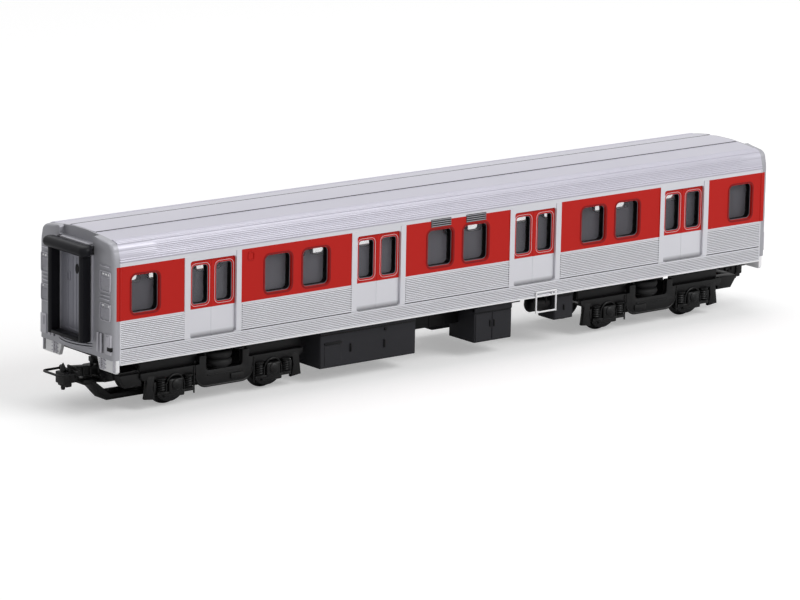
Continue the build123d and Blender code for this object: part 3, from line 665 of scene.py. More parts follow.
# the joint along each edge of the middle panel is a groove; the panel inside it is gently crowned
GROOVE_OUT, GROOVE_IN, GROOVE_FLOOR = 6.1, 5.6, 48.3
CROWN_HALF, CROWN_TOP, CROWN_DROP = 5.55, 49.05, 0.13
roof_low, roof_high = box_mm("roof")


def bulged(start, end, bulge):
    """An arc from start to end whose middle stands out from the chord by the bulge."""
    start, end = np.array(start), np.array(end)
    chord = end - start
    across = np.array([chord[1], -chord[0]]) / np.linalg.norm(chord)
    return arc_through(start, (start + end) / 2 + bulge * across, end, FLANK_POINTS)


flank = np.concatenate(
    [
        bulged((WALL, GUTTER), SHOULDER, FLANK_BULGE),
        arc_through(SHOULDER, TURN, CREST, TURN_POINTS)[1:],
        bulged(CREST, PANEL_EDGE, FLANK_BULGE)[1:],
    ]
)
groove = [(6.3, 48.72), (6.15, 48.84), (GROOVE_OUT, GROOVE_FLOOR), (GROOVE_IN, GROOVE_FLOOR)]
crown = [(y, CROWN_TOP - CROWN_DROP * (y / CROWN_HALF) ** 2) for y in (CROWN_HALF, 4.2, 2.8, 1.4, 0.0)]
half = np.concatenate([flank, groove, crown])
steps = np.linalg.norm(np.diff(half, axis=0), axis=1)
travelled = np.concatenate([[0], np.cumsum(steps)])


def rib_wave(start, end, pitch):
    """Half-round ribs between two lengths travelled up the section, nothing elsewhere."""
    inside = (travelled >= start) & (travelled <= end)
    wave = np.abs(np.sin(np.pi * (travelled - start) / pitch)) ** RIB_FULLNESS
    return np.where(inside, wave, 0.0)


# two ribs over the gutter and four on the crest run the whole length; the shoulder's fade out near the ends
SHOULDER_RIB, CREST_RIB = 0.17, 0.24
GUTTER_FROM, GUTTER_TO = 0.15, 1.3
CREST_PITCH, CREST_COUNT = 0.66, 4
CREST_START = travelled[FLANK_POINTS + TURN_POINTS // 2 + 1]
SHOULDER_FROM, SHOULDER_TO, FADE = -101.0, 105.0, 1.2
shoulder_count = round((CREST_START - GUTTER_TO) / RIB_PITCH)
always = SHOULDER_RIB * rib_wave(GUTTER_FROM, GUTTER_TO, (GUTTER_TO - GUTTER_FROM) / 2)
always += CREST_RIB * rib_wave(CREST_START, CREST_START + CREST_PITCH * CREST_COUNT, CREST_PITCH)
fading = SHOULDER_RIB * rib_wave(GUTTER_TO, CREST_START, (CREST_START - GUTTER_TO) / shoulder_count)
section = np.concatenate([half * (-1, 1), half[::-1][1:]])
always, fading = (np.concatenate([wave, wave[::-1][1:]]) for wave in (always, fading))
slope = np.gradient(section, axis=0)
slope /= np.linalg.norm(slope, axis=1, keepdims=True)
outward = np.stack([-slope[:, 1], slope[:, 0]], 1)
inner = section[::INNER_STEP][::-1] * ((WALL - ROOF_WALL) / WALL, 1) - (0, ROOF_WALL)
inner[:, 1] = np.maximum(inner[:, 1], GUTTER)
# places along the roof, and how strong the fading ribs are at each
stations = [roof_low[0], SHOULDER_FROM - FADE, SHOULDER_FROM, SHOULDER_TO, SHOULDER_TO + FADE, roof_high[0]]
strength = np.array([0, 0, 1, 1, 0, 0])
outer = section[None] + outward[None] * (always[None] + strength[:, None] * fading[None])[..., None]
roof_flat = np.concatenate([outer, np.repeat(inner[None], len(stations), 0)], 1)
roof_points = in_space("x", np.array(stations)[:, None], roof_flat).reshape(-1, 3)
columns = roof_flat.shape[1]
first_ring = np.arange(columns)[None]
roof_faces = [
    quads(len(stations), columns, round_cols=True),
    first_ring,
    first_ring + (len(stations) - 1) * columns,
]
piece("roof_shell", (roof_points, roof_faces), silver_roof, "car", ("roof",))
# the shade that fills each groove, too narrow for light to reach its floor
joint_y, joint_z = (GROOVE_IN - 0.03, GROOVE_OUT + 0.03), (48.0, 48.89)
roof_joint = block((roof_low[0] + 0.3, roof_high[0] - 0.3), joint_y, joint_z, 0.02, "x", 2)
piece("roof_joints", doubled(roof_joint), joint_shadow, "car")

# ---- windows: clear pane, its pale edge as a painted highlight and the glazing moulding's sides in painted shade ----
WINDOW_SIZE, WINDOW_CORNER = (8.8, 10.3), 1.4
PAIR_HALF, FIRST_WINDOW, LAST_WINDOW = 6.35, 6.3, BODY_END - 10.3
pair_middle = (DOORS[2] + DOORS[3]) / 2
window_x = np.array([FIRST_WINDOW, *around(pair_middle, PAIR_HALF), LAST_WINDOW])
window_x = np.concatenate([-window_x[::-1], window_x])
window_outlines = hung_windows(window_x, WINDOW_SIZE, WINDOW_CORNER)
all_windows = window_outlines + leaf_outlines
PANE_FRONT, PANE_BACK, WELL_STEP, WELL_BACK = 16.25, 14.75, 15.75, 14.4
WELL_IN, WELL_OUT, WELL_LIP = -0.12, 0.04, -0.02
well_section = [
    (WELL_IN, -PANE_FRONT),
    (WELL_IN, -WELL_BACK),
    (WELL_OUT, -WELL_BACK),
    (WELL_OUT, -WELL_STEP),
    (WELL_LIP, -WELL_STEP),
    (WELL_LIP, -PANE_FRONT),
]
edge_section = raised(PANE_FRONT, -0.13, WELL_LIP, 0.12, 0)
pane_stations = [(-PANE_BACK, 0.14), (-WELL_BACK, 0.14)]
panes = merged(*[carried(outline, "y", pane_stations) for outline in all_windows])
on_sides("window_panes", panes, clear_styrene, ("glazing",))
on_sides("window_wells", rims(all_windows, well_section), glazing_edge_shade)
on_sides("window_pane_edges", rims(all_windows, edge_section), pane_edge_highlight)
# raised frames round the side windows, in the darker red of painted shade
frame_section = raised(WALL, 0.14, 0.55, 0.1)
on_sides("window_frames", rims(window_outlines, frame_section), frame_red_shade)
# slats over the middle windows, in the ends' darker grey, with painted shade darkening the gaps between them
# nearly to black
LOUVRE_X, LOUVRE_Z, LOUVRE_PITCH = (2.7, 9.7), (39.6, 41.9), 0.58
louvre_grille_shade = groove_shaded("louvre_grille_shade", silver_end_shade, WALL + 0.8 * RIB_HEIGHT, WALL + RIB_HEIGHT, 0.01)
louvre = ribbed(LOUVRE_X, *LOUVRE_Z, LOUVRE_PITCH)
on_sides("louvres", doubled(louvre, "x"), louvre_grille_shade)
# a small framed plate beside the first pair of windows, printed over in red
RING_X, RING_Z, RING_SIZE = -71.0, 39.3, (1.7, 2.0)
printed_ring = rim(rounded((RING_X, RING_Z), *RING_SIZE, 0.35), raised(WALL, 0.0, 0.2, 0.16))
on_sides("printed_trim", printed_ring, side_livery)

# ======== ends, drawn for the rear

WALL_BOTTOM, PLATE_BOTTOM = 16.5, 12.8
NOTCH_HALF, NOTCH_DEPTH, NOTCH_FLOOR = 7.75, 1.6, 46.1
NOTCH_FADE = (8.4, 11.0)
CORNER_ROUND, CORNER_STEPS = 1.1, 7
PLATE_FACE = BODY_END - 1.0
APERTURE, APERTURE_TOP, FRAME_HALF, FRAME_FACE = 6.4, 43.2, 8.2, BODY_END + 0.6
FOOT_TOP, FOOT_LOW, FOOT_BOW, FOOT_HALF, FOOT_RIDGES = 20.1, 17.9, 2.8, 8.0, 3
APRON_BOW = 0.6
side_end = -roof_low[0]


def end_outline(notched):
    """The end wall's outline across the car: flat foot, upright sides, the roof's flanks and the middle."""
    shoulder, middle = flank[::4], np.array([(3.2, 48.99)])
    if notched:
        shoulder = shoulder[shoulder[:, 0] > NOTCH_HALF + 0.7]
        lip = arc_through((NOTCH_HALF + 0.6, 48.5), (NOTCH_HALF + 0.17, 48.32), (NOTCH_HALF, 47.9), 5)
        foot_start, foot_end = (NOTCH_HALF, NOTCH_FLOOR + 0.5), (NOTCH_HALF - 0.5, NOTCH_FLOOR)
        foot = arc_through(foot_start, (NOTCH_HALF - 0.15, NOTCH_FLOOR + 0.15), foot_end, 5)
        middle = np.concatenate([lip, foot])
    right_half = np.concatenate([[(WALL, WALL_BOTTOM), (WALL, WALL_BOTTOM + 0.4)], shoulder, middle])
    return np.concatenate([right_half, right_half[::-1] * (-1, 1)])


def end_cap(notched, stations):
    """The end wall between stations: its round is full at the sides, less over the roof, least at a notch."""
    outline = end_outline(notched)
    share = np.interp(outline[:, 1], [GUTTER, CREST[1]], [1.0, 0.6])
    beside_notch = np.interp(np.abs(outline[:, 0]), NOTCH_FADE, [0.12, 1.0])
    share *= np.where(outline[:, 1] > GUTTER, beside_notch, 1.0)
    points, faces = carried(outline, "x", stations, share)
    grid = points.reshape(len(stations), len(outline), 3)
    grid[:, [0, -1], 2] = WALL_BOTTOM
    return grid.reshape(-1, 3), faces


def bowed(bow):
    """Plan of a plate at the end wall, bowed out towards the car's end along a circle arc."""
    arc = arc_through((-BODY_END, -FOOT_HALF), (-BODY_END - bow, 0), (-BODY_END, FOOT_HALF), 17)
    return np.concatenate([arc, [(-BODY_END + 0.5, FOOT_HALF), (-BODY_END + 0.5, -FOOT_HALF)]])


notch_back = -BODY_END + NOTCH_DEPTH
round_stations = eased(-BODY_END, 0, CORNER_ROUND, CORNER_STEPS)[:CORNER_STEPS]
ridge_pitch = (FOOT_TOP - FOOT_LOW) / FOOT_RIDGES
ridges = [
    carried(bowed(FOOT_BOW), "z", eased(low + 0.24, low + ridge_pitch, 0.2))
    for low in FOOT_LOW + ridge_pitch * np.arange(FOOT_RIDGES)
]
end_shell = merged(
    end_cap(True, [*round_stations, (notch_back, 0)]),
    end_cap(False, [(notch_back + 0.002, 0), (-side_end, 0)]),
    *ridges,
    carried(bowed(APRON_BOW), "z", eased(WALL_BOTTOM, FOOT_LOW + 0.15, 0.12)),
)
on_ends("end_shell", end_shell, end_livery, replaced=("end_wall",))
# a plate under each corner of the body, cut off at its outer foot
plate_outline = [
    (9.5, PLATE_BOTTOM),
    (WALL - 0.5, PLATE_BOTTOM),
    (WALL, PLATE_BOTTOM + 0.5),
    (WALL, WALL_BOTTOM + 0.1),
    (8.1, WALL_BOTTOM + 0.1),
]
corner_plate = carried(plate_outline, "x", eased(-PLATE_FACE, -side_end, 0.2))
# the plates in the painted-highlight silver
on_ends("corner_plates", doubled(corner_plate), painted_highlight_silver)


def proud(y, z, by, edge=0.08, face=BODY_END):
    """A raised block on the rear end wall between two places across it and two heights."""
    return block((-face - by, -face + ROOT), y, z, edge, "z", 3)


# each column beside the gangway: two hatches with grip ribs, three ledges, and a bracket with its feet
HATCH_MIDDLE, HATCH_WIDTH = -13.75, 4.3
GRIPS = np.arange(-15.3, -12.1, 0.52)
hatch_rim = raised(BODY_END, 0, 0.22, 0.35, 0.2)
column = merged(
    rim(rounded((HATCH_MIDDLE, 37.4), HATCH_WIDTH, 5.2, 0.5), hatch_rim, "x"),
    rim(rounded((HATCH_MIDDLE, 29.2), HATCH_WIDTH, 4.4, 0.5), hatch_rim, "x"),
    *[proud((-15.6, -11.4), (z, z + 0.3), 0.5) for z in (41.3, 33.5, 32.5)],
    *[proud(around(y, 0.12), z, 0.22, 0.05) for y in GRIPS for z in ((36.0, 38.6), (27.8, 30.2))],
    *[proud(around(y, 0.38), (17.9, 23.3), 0.6, 0.3) for y in (-10.5, -12.0)],
    proud((-16.4, -13.7), (17.9, 23.4), 0.35, 0.2),
    proud((-15.9, -14.4), (20.4, 22.9), 0.65, 0.2),
)
uprights = (PLATE_BOTTOM + 0.3, WALL_BOTTOM)
plate_ribs = merged(
    *[proud(around(y, 0.2), uprights, 0.4, 0.1, PLATE_FACE) for y in (-10.4, -11.6, -16.4)],
    *[proud((-12.6, -9.7), (z, z + 0.25), 0.35, 0.08, PLATE_FACE) for z in (13.6, 14.6, 15.6)],
)
post = proud((APERTURE + 0.02, FRAME_HALF), (FOOT_TOP, NOTCH_FLOOR), 0.6, 0.15)
lintel = proud((-FRAME_HALF, FRAME_HALF), (APERTURE_TOP, NOTCH_FLOOR), 0.6, 0.15)
# the relief keeps the plain satin silver, lighter than the painted shade of the wall behind it
on_ends("end_relief", merged(doubled(merged(column, plate_ribs, post)), lintel), silver)
RIVET = 0.38
rivet_places = [(0, y, 39.3) for y in (-12.6, -13.9, -15.2)] + [(0, y, 30.9) for y in (-12.6, -15.2)]
rivet_profile = [(0, -0.28), (RIVET * 0.7, -0.22), (RIVET, -0.05), (RIVET, 0.1), (0, 0.1)]
rivet = turned(np.array(rivet_profile) - (0, BODY_END), (0, 0, 0), "x", 12)
on_ends("hatch_rivets", doubled(copies(rivet, rivet_places)), rivet_bright)
# one slot an end, each on the right as one faces that end of the car from outside
slot_block = proud((-16.7, -14.9), (18.9, 20.0), 0.45, 0.1)
piece("bracket_slot_rear", slot_block, black_styrene, "car")
piece("bracket_slot_front", mirrored(mirrored(slot_block, "x"), "y"), black_styrene, "car")
# painted shade: dark strips in the gaps between the bracket's ribs and between the plate's
plate_gaps = (PLATE_BOTTOM + 0.4, WALL_BOTTOM - 0.1)
rib_gaps = merged(
    *[proud(around(y, 0.14), (18.0, 23.2), 0.08, 0.03) for y in (-9.95, -11.25, -12.6)],
    *[proud(around(y, 0.14), plate_gaps, 0.06, 0.03, PLATE_FACE) for y in (-11.0, -15.95)],
)
on_ends("rib_gaps", doubled(rib_gaps), joint_shadow)
# the door: a flat leaf with upright beads, a kick plate, a handle plate and an oval spyhole
SPYHOLE, SPYHOLE_STRETCH, SPYHOLE_PLACE = 0.7, (1, 1, 1.9), (0, -1.15, 38.45)
DOOR_PLANE = FRAME_FACE - 0.2
spyhole_profile = [(0, 0.05), (SPYHOLE, 0.05), (SPYHOLE, 0.4), (0, 0.4)]
spyhole, spyhole_faces = turned(np.array(spyhole_profile) - (0, FRAME_FACE), (0, 0, 0), "x", 24)
spyhole = (spyhole * SPYHOLE_STRETCH + SPYHOLE_PLACE, spyhole_faces)
on_ends("end_door_spyhole", spyhole, black_styrene)
leaf_y, leaf_z = around(0, APERTURE - 0.04), (FOOT_TOP + 0.04, APERTURE_TOP - 0.04)
leaf_beads = [proud(around(y, 0.16), (21.6, 41.4), 0.14, 0.06, DOOR_PLANE) for y in (0.85, 3.1, 5.6)]
door_leaf = merged(
    block((-DOOR_PLANE, -DOOR_PLANE + 1.0), leaf_y, leaf_z, 0.1),
    doubled(merged(*leaf_beads)),
    rim(rounded((2.5, 35.9), 0.8, 2.2, 0.38), raised(DOOR_PLANE, 0, 0.25, 0.14), "x"),
    proud((-5.4, 5.4), (21.5, 22.0), 0.12, 0.05, DOOR_PLANE),
)
on_ends("end_door_leaf", door_leaf, end_door_shade_grey, replaced=("end_door",))

# ---- gangways: soft legs, threshold plate and the fat roll over them ----
LEG_HALF, LEG_FRONT, LEG_ROUND = 8.0, FRAME_FACE + 3.2, 0.55
ROLL_HALF, ROLL_FRONT, ROLL_LOW, ROLL_TOP = 10.0, FRAME_FACE + 4.2, APERTURE_TOP, 46.1
ROLL_PLAN_ROUND, ROLL_ROUND = 2.0, 1.42
leg_middle = (-(LEG_FRONT + FRAME_FACE) / 2, -(LEG_HALF + APERTURE) / 2)
leg_plan = rounded(leg_middle, LEG_FRONT - FRAME_FACE, LEG_HALF - APERTURE, LEG_ROUND, 6)
leg = carried(leg_plan, "z", [(FOOT_TOP, 0), (ROLL_LOW + 0.6, 0)])
roll_middle = (-(ROLL_FRONT + FRAME_FACE) / 2, 0)
roll_plan = rounded(roll_middle, ROLL_FRONT - FRAME_FACE, 2 * ROLL_HALF, ROLL_PLAN_ROUND, 9)
roll = carried(roll_plan, "z", eased(ROLL_LOW, ROLL_TOP, ROLL_ROUND, 8))
threshold_x, threshold_z = (-LEG_FRONT + 0.1, -FRAME_FACE), (FOOT_TOP, FOOT_TOP + 0.9)
threshold = block(threshold_x, around(0, APERTURE + 0.2), threshold_z, 0.2, "y")
seal = merged(doubled(leg), roll, threshold)
on_ends("gangway_seal", seal, gangway_vinyl, replaced=("gangway",))

# ======== underfloor equipment

CABINET_FACE = 15.0
RIM_OUT, HANDLE_OUT = 0.25, 0.5


def cabinet(node, rim_low, panels, handles, slots=()):
    """A box on the right under the floor with its rim and raised panels; and its handles and slot hoods."""
    low, high = box_mm(node)
    length, height = (low[0], high[0]), (low[2], high[2])
    face = -CABINET_FACE
    box = merged(
        block(length, (face, high[1]), height, 0.25),
        block(length, (face - RIM_OUT, face + 1), (rim_low, high[2]), 0.12),
        *[block(x, (face - out, face + ROOT), z, 0.07, "y", 2) for x, z, out in panels],
    )
    # the last of the fittings is the strip of shade under the rim
    shade_x, shade_z = (low[0] + 0.1, high[0] - 0.1), (rim_low - 0.35, rim_low + 0.1)
    fittings = merged(
        *[block(around(x, 0.25), (face - HANDLE_OUT, face), z, 0.16, "z") for x, z in handles],
        *[block(x, (face - HANDLE_OUT, face), z, 0.12) for x, z in slots],
        block(shade_x, (face - 0.16, face + 0.2), shade_z, 0.05),
    )
    return box, fittings


large, large_fittings = cabinet(
    "large_cabinet_right",
    rim_low=13.7,
    panels=[((-45.7, -13.0), (4.5, 13.4), 0.1), ((-44.4, -38.7), (5.0, 10.3), 0.22)],
    handles=[(-35.5, (7.9, 10.2)), (-23.8, (7.5, 9.8))],
    slots=[((-44.5, -38.7), (10.75, 11.3)), ((-23.9, -23.1), (12.3, 13.0))],
)
on_sides("large_cabinet_box", large, black_equipment, ("large_cabinet",))
twin, twin_fittings = cabinet(
    "twin_door_cabinet_right",
    rim_low=12.9,
    panels=[((8.5, 14.15), (4.6, 12.4), 0.22), ((14.45, 21.3), (4.6, 12.4), 0.22)],
    handles=[(13.6, (8.3, 10.3)), (15.05, (8.3, 10.3))],
)
on_sides("twin_cabinet_box", twin, black_equipment, ("twin_door_cabinet",))
battery_low, battery_high = box_mm("battery_box_right")
battery, battery_fittings = cabinet(
    "battery_box_right",
    rim_low=14.0,
    panels=[((battery_low[0] + 0.3, battery_high[0] - 0.3), (7.3, 13.6), 0.14)],
    handles=[(40.6, (9.6, 11.2))],
)
on_sides("battery_case", battery, black_equipment, ("battery_box",))
all_fittings = merged(large_fittings, twin_fittings, battery_fittings)
on_sides("cabinet_handles", all_fittings, black_styrene)

# the air tank's drum with its two domed ends, hung in two straps
TANK_RADIUS, TANK_DOME = 2.1, 0.9
tank_low, tank_high = box_mm("air_tank_right")
drum_low, drum_high = tank_low[0] + 2.7, tank_high[0] - TANK_DOME
strap_places = (drum_low + 0.8, 34.6)
tank_centre = (0, tank_low[1] + TANK_RADIUS, tank_low[2] + TANK_RADIUS)
dome_turn = np.linspace(0.3, np.pi / 2, 6)
tank_profile = [
    (0, drum_low),
    *[(TANK_RADIUS * np.sin(t), drum_low + TANK_DOME * (1 - np.cos(t))) for t in dome_turn],
    (TANK_RADIUS, drum_high),
    *[(TANK_RADIUS * np.cos(t), drum_high + TANK_DOME * np.sin(t)) for t in dome_turn],
]
strap_y, strap_z = (tank_low[1], tank_high[1]), (tank_centre[2], tank_high[2])
tank = merged(
    turned(tank_profile, tank_centre, "x", 28),
    *[block((x, x + 0.5), strap_y, strap_z, 0.1) for x in strap_places],
)
on_sides("air_tank_shell", tank, black_styrene, ("air_tank",))

duct_low, duct_high = box_mm("centre_duct")
duct_low[2] += 0.6
band_y, band_z = (duct_low[1] - 0.2, duct_high[1] + 0.2), (duct_low[2], duct_high[2])
duct = merged(
    block(*zip(duct_low, duct_high), 0.3),
    *[block(around(x, 0.2), band_y, band_z, 0.1) for x in (-7.5, -2.4, 2.7)],
)
piece("duct_casing", duct, black_styrene, "car", ("centre_duct",))

# the folding step: a frame of round bars, with a small ring in its lower corner
STEP_WIRE = 0.25
STEP_RAIL = SILL + 0.3
step_low, step_high = box_mm("step_frame_right")
step_y = (step_low[1] + step_high[1]) / 2
step_x = (step_low[0] + STEP_WIRE, step_high[0] - STEP_WIRE)
rail_heights = (step_low[2] + STEP_WIRE, STEP_RAIL, step_high[2] - STEP_WIRE)
step_ring = rim(rounded((step_x[1] - 0.9, 15.9), 0.9, 0.9, 0.44), raised(-step_y, 0, 0.2, 0.2, 0.2))
step = merged(
    *[tube([(x, step_y, step_low[2]), (x, step_y, step_high[2])], STEP_WIRE) for x in step_x],
    *[tube([(step_x[0], step_y, z), (step_x[1], step_y, z)], STEP_WIRE) for z in rail_heights],
    step_ring,
)
# the bars in the painted-highlight silver
on_sides("step_bars", step, painted_highlight_silver, ("step_frame",))

# ======== bogies, drawn about the rear one's middle

BOGIE_X = 76.0
AXLES, AXLE_Z = (-16.15, 16.15), 6.25
SIDE_IN, SIDE_OUT = 10.7, 12.2
BAR_LOW, BAR_TOP, BAR_END = 8.3, 10.4, 26.5
PAN_HALF, PAN_LOW, PAN_TOP, PAN_ROUND = 9.4, 4.1, 8.4, 3.5
POST_IN, POST_OUT, POST_TOP, POST_ROUND = 6.0, 8.2, 12.6, 1.0


def on_bogies(name, parts, material=black_acetal, replaced=(), smooth_angle=40):
    """A piece of both bogies, from surfaces drawn about the bogie's middle."""
    placed = copies(merged(*parts), [(-BOGIE_X, 0, 0)])
    on_ends(name, placed, material, "bogie", replaced, smooth_angle)


def plate(outline, y=(-SIDE_OUT, -SIDE_IN), edge=0.15):
    """A flat plate of a bogie: its outline of (offset from the bogie's middle, height), edges eased."""
    return carried(outline, "y", eased(*y, edge))


def pan_corner(side, low, half, radius):
    """Quarter circle from the cradle's upright side round to its flat bottom."""
    return rounding((side * half, low), (0, 1), (-side, 0), radius, 8)


# the cradle: a deep pan that hangs between two posts, with the bellows' seat inside it
left_corner, right_corner = (pan_corner(side, PAN_LOW, PAN_HALF, PAN_ROUND) for side in (-1, 1))
inner_left, inner_right = (pan_corner(side, PAN_TOP, POST_IN, POST_ROUND) for side in (-1, 1))
cradle_outline = np.concatenate(
    [
        [(-POST_OUT, POST_TOP), (-POST_OUT, BAR_TOP), (-PAN_HALF, BAR_TOP)],
        left_corner,
        right_corner[::-1],
        [(PAN_HALF, BAR_TOP), (POST_OUT, BAR_TOP), (POST_OUT, POST_TOP), (POST_IN, POST_TOP)],
        inner_right,
        inner_left[::-1],
        [(-POST_IN, POST_TOP)],
    ]
)
rear_bar = [(-27.3, 9.2), (-26.4, BAR_LOW), (-POST_OUT, BAR_LOW), (-POST_OUT, BAR_TOP), (-27.3, BAR_TOP)]
front_bar = [(POST_OUT, BAR_LOW), (25.2, BAR_LOW), (BAR_END, 9.2), (BAR_END, BAR_TOP), (POST_OUT, BAR_TOP)]
hanger_outline = [(-25.0, 9.4), (-25.9, 3.1), (-22.5, 2.7), (-23.2, 6.0), (-22.7, 9.4)]
pan_flange = in_space("y", -SIDE_OUT, np.concatenate([left_corner, right_corner[::-1]]))
rod = tube([(0, -SIDE_OUT, 2.9), (0, -SIDE_OUT, BAR_TOP - 0.3)], 0.24, 8)
arch = arc_through((-2.9, 6.4), (0, 8.9), (2.9, 6.4), 9)
arch = np.concatenate([[(-2.9, 3.8)], arch, [(2.9, 3.8)]])
# one axlebox: its block, round cover, arch, spring plank and foot
axlebox = merged(
    block((-2.3, 2.3), (-13.0, -SIDE_IN), (3.9, 7.9), 0.5, "y", 4),
    turned([(0, -13.5), (1.2, -13.45), (1.5, -13.2), (1.5, -12.8), (0, -12.8)], (0, 0, AXLE_Z), "y", 20),
    tube(in_space("y", -SIDE_OUT - 0.15, arch), 0.26, 8),
    block((-6.0, 6.0), (-12.7, -10.9), (3.7, 4.5), 0.2),
    block((-3.3, 3.3), (-12.2, -11.0), (2.7, 3.9), 0.3),
)
side_frame = merged(
    plate(rear_bar),
    plate(front_bar),
    plate(cradle_outline, (-SIDE_OUT - 0.15, -SIDE_IN)),
    tube(pan_flange, 0.3, 8),
    # a rib and a small plain plate on the pan's face
    block((-5.6, 5.6), (-SIDE_OUT - 0.4, -SIDE_OUT + ROOT), (6.9, 7.3), 0.15),
    block((2.0, 6.4), (-SIDE_OUT - 0.5, -SIDE_OUT + ROOT), (5.0, 6.6), 0.2),
    # the brake hangers, the inner plates over the side bars and the blocks beside the outer springs
    doubled(plate(hanger_outline, (-SIDE_OUT - 0.1, -SIDE_IN - 0.2), 0.3), "x"),
    doubled(block((POST_OUT - 0.1, BAR_END), (-SIDE_IN - 0.1, -10.15), (BAR_TOP - 0.3, 13.0), 0.1), "x"),
    doubled(block((22.0, 22.9), (-SIDE_OUT + 0.2, -SIDE_IN - 0.2), (3.8, 7.4), 0.1), "x"),
    copies(rod, [(x, 0, 0) for x in around(0, PAN_HALF + 0.5)]),
    copies(axlebox, [(axle, 0, 0) for axle in AXLES]),
)
on_bogies("bogie_sides", [doubled(side_frame)], replaced=("bogie_frame",))
# one axlebox spring: the coil round its post, between two cups
SPRING_Y, SPRING_STEP = -11.8, 4.4
spring = merged(
    helix(1.05, 4.7, 8.3, 5.5, 0.3),
    turned([(0, 4.5), (0.62, 4.5), (0.62, 8.4), (0, 8.4)], (0, 0, 0), "z", 12),
    turned([(0, 8.0), (1.5, 8.05), (1.55, 8.4), (0, 8.45)], (0, 0, 0), "z", 18),
    turned([(0, 4.4), (1.5, 4.45), (1.5, 4.8), (0, 4.85)], (0, 0, 0), "z", 18),
)
spring_places = [(x, SPRING_Y, 0) for axle in AXLES for x in around(axle, SPRING_STEP)]
on_bogies("axlebox_springs", [doubled(copies(spring, spring_places))])
# air bellows: two soft lobes between plates
BELLOWS_NECK, LOBE_OUT, LOBE_HALF = 3.2, 0.85, 1.08
lobe_turn = np.linspace(0.15, np.pi - 0.15, 9)
bellows_profile = [
    (0, PAN_TOP - 0.4),
    (3.0, PAN_TOP - 0.4),
    (3.0, 8.7),
    (BELLOWS_NECK, 8.75),
    *[
        (BELLOWS_NECK + LOBE_OUT * np.sin(t), low + LOBE_HALF * (1 - np.cos(t)))
        for low in (8.75, 10.95)
        for t in lobe_turn
    ],
    (2.9, 13.1),
    (0, 13.15),
]
bellows = turned(bellows_profile, (0, -8.9, 0), "z", 28)
on_bogies("air_bellows", [doubled(bellows)], bellows_rubber, smooth_angle=50)
# cross members: bolster, transoms, end beam, and the tongue that carries the coupler
TONGUE_HALF = 3.0
tongue_outline = [(4.6, 1.95), (-31.7, 1.95), (-36.4, 6.9), (-36.4, 8.4), (-30.4, 3.6), (4.6, 3.5)]
gusset_outline = [(-33.6, 9.6), (-31.7, 6.9), (-26.5, 6.9), (-26.5, 10.5), (-33.6, 10.5)]
cross_members = [
    block((-4.6, 4.6), (-9.5, 9.5), (10.7, 13.2), 0.4, "y"),
    *[block(around(x, 1.4), (-11.0, 11.0), (5.2, 11.4), 0.4, "y") for x in (-7.6, 7.6)],
    *[block((-34.0, -30.4), y, (8.7, 10.6), 0.35, "y") for y in ((-8.4, -2.7), (2.7, 5.6))],
    block((-34.0, -30.4), (-5.0, 5.0), (7.5, 9.0), 0.3, "y"),
    block((-39.2, -34.5), (-3.0, 3.0), (6.9, 8.5), 0.7, "z"),
    plate(gusset_outline, (-11.6, -8.2), 0.3),
    plate(tongue_outline, around(0, TONGUE_HALF), 0.25),
    *[block(around(x, 0.75), (-2.2, 2.2), (3.0, 10.8), 0.2, "z") for x in (-3.8, 3.8)],
]
# the coupler's pivot on the end beam, with its hook-shaped keeper
coupler_pivot = [
    turned([(0, 8.8), (0.8, 8.8), (0.8, 13.3), (0, 13.3)], (-32.2, 0, 0), "z", 16),
    block((-34.9, -31.4), (-0.6, 0.6), (13.1, 13.8), 0.25),
    block((-34.9, -34.2), (-0.6, 0.6), (11.4, 13.4), 0.2, "z"),
    tube([(-34.4, 0, 13.4), (-31.9, 0, 11.2)], 0.4, 8),
]
on_bogies("bogie_beams", [*cross_members, *coupler_pivot])

# ======== couplers and their loops, drawn for the rear

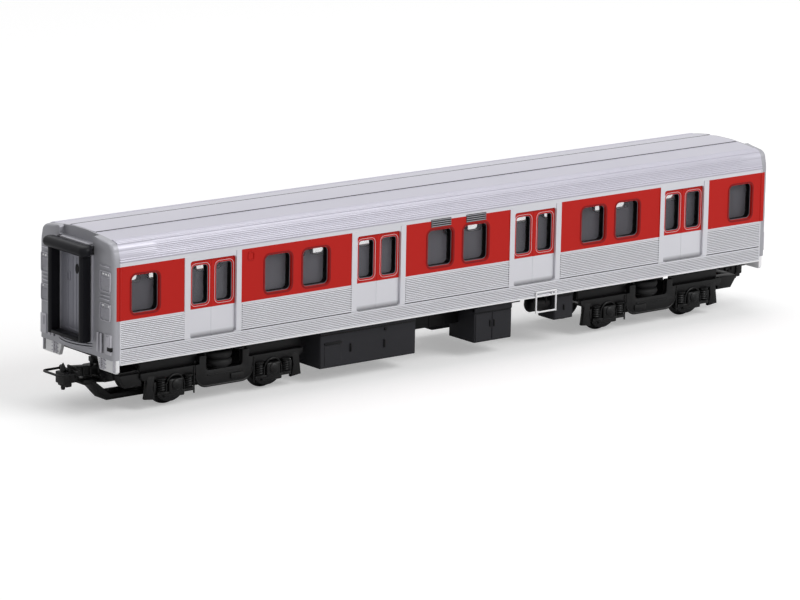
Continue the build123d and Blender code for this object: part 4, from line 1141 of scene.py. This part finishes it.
PIN_X, HOOK_X, LOOP_X, LOOP_Z = -108.2, -119.7, -117.4, 10.9
SHANK_LOW, SHANK_TOP, SHANK_HALF = 9.2, 11.2, 1.6
HEAD_FRONT, HEAD_HALF = -120.8, 2.1
shank_outline = [(LOOP_X, SHANK_LOW), (PIN_X, SHANK_LOW), (PIN_X, SHANK_TOP), (LOOP_X, SHANK_TOP + 0.8)]
eye_profile = [(0, SHANK_LOW), (2.1, SHANK_LOW), (2.2, 9.4), (2.2, 11.0), (2.1, SHANK_TOP), (0, SHANK_TOP)]
hook_profile = [(0, 5.95), (0.45, 6.0), (0.6, 6.35), (0.6, 9.8), (0.78, 10.3), (0.74, 11.9), (0.52, 12.5)]
hook_profile += [(0.12, 13.3), (0, 13.3)]
coupler = merged(
    carried(shank_outline, "y", eased(*around(0, SHANK_HALF), 0.3)),
    turned(eye_profile, (PIN_X, 0, 0), "z", 24),
    # ribs over the shank, higher towards the head
    *[
        block(around(x, 0.3), around(0, HEAD_HALF), (9.1, top), 0.2, "z")
        for x, top in ((-112.2, 11.4), (-114.5, 11.6), (-116.8, 12.05))
    ],
    # the head: its cheek, lip and front, then the hook's foot, the hook and the loop's pin
    block((-118.8, -115.7), (-1.7, 1.7), (7.8, 11.4), 0.3),
    block((-120.1, -118.2), around(0, HEAD_HALF), (6.9, 8.2), 0.3, "y"),
    block((HEAD_FRONT, -118.5), around(0, HEAD_HALF), (7.7, 10.9), 0.3),
    turned([(0, 7.1), (0.9, 7.2), (0.95, 7.5), (0.95, 8.0), (0, 8.0)], (HOOK_X, 0, 0), "z", 16),
    turned(hook_profile, (HOOK_X, 0, 0), "z", 20),
    turned([(0, -4.4), (0.4, -4.35), (0.4, 4.35), (0, 4.4)], (LOOP_X, 0, LOOP_Z), "y", 14),
)
on_ends("coupler_head", coupler, black_acetal, "coupler", ("coupler",))
# the loop: one wire from its eye on the pin round the front to its other eye
LOOP_HALF, LOOP_FRONT, LOOP_WIRE, LOOP_ROUND = 4.0, -123.45, 0.34, 1.0
loop_corner = rounding((LOOP_FRONT, LOOP_HALF), (1, 0), (0, -1), LOOP_ROUND, 7)
loop_path = [[(LOOP_X, LOOP_HALF)], loop_corner, loop_corner[::-1] * (1, -1), [(LOOP_X, -LOOP_HALF)]]
loop_wire = tube(in_space("z", LOOP_Z, np.concatenate(loop_path)), LOOP_WIRE)
EYE_SIDES = 18
eye_section = [(0.42, -0.4), (0.8, -0.35), (0.8, 0.35), (0.42, 0.4)]
eye_points, _ = turned(eye_section, (LOOP_X, 0, LOOP_Z), "y", EYE_SIDES)
loop_eye = (eye_points, [quads(len(eye_section), EYE_SIDES, True, True)])
loop = merged(loop_wire, copies(loop_eye, [(0, y, 0) for y in (LOOP_HALF, -LOOP_HALF)]))
on_ends("coupler_loop_wire", loop, black_acetal, "loop", ("coupler_loop",))
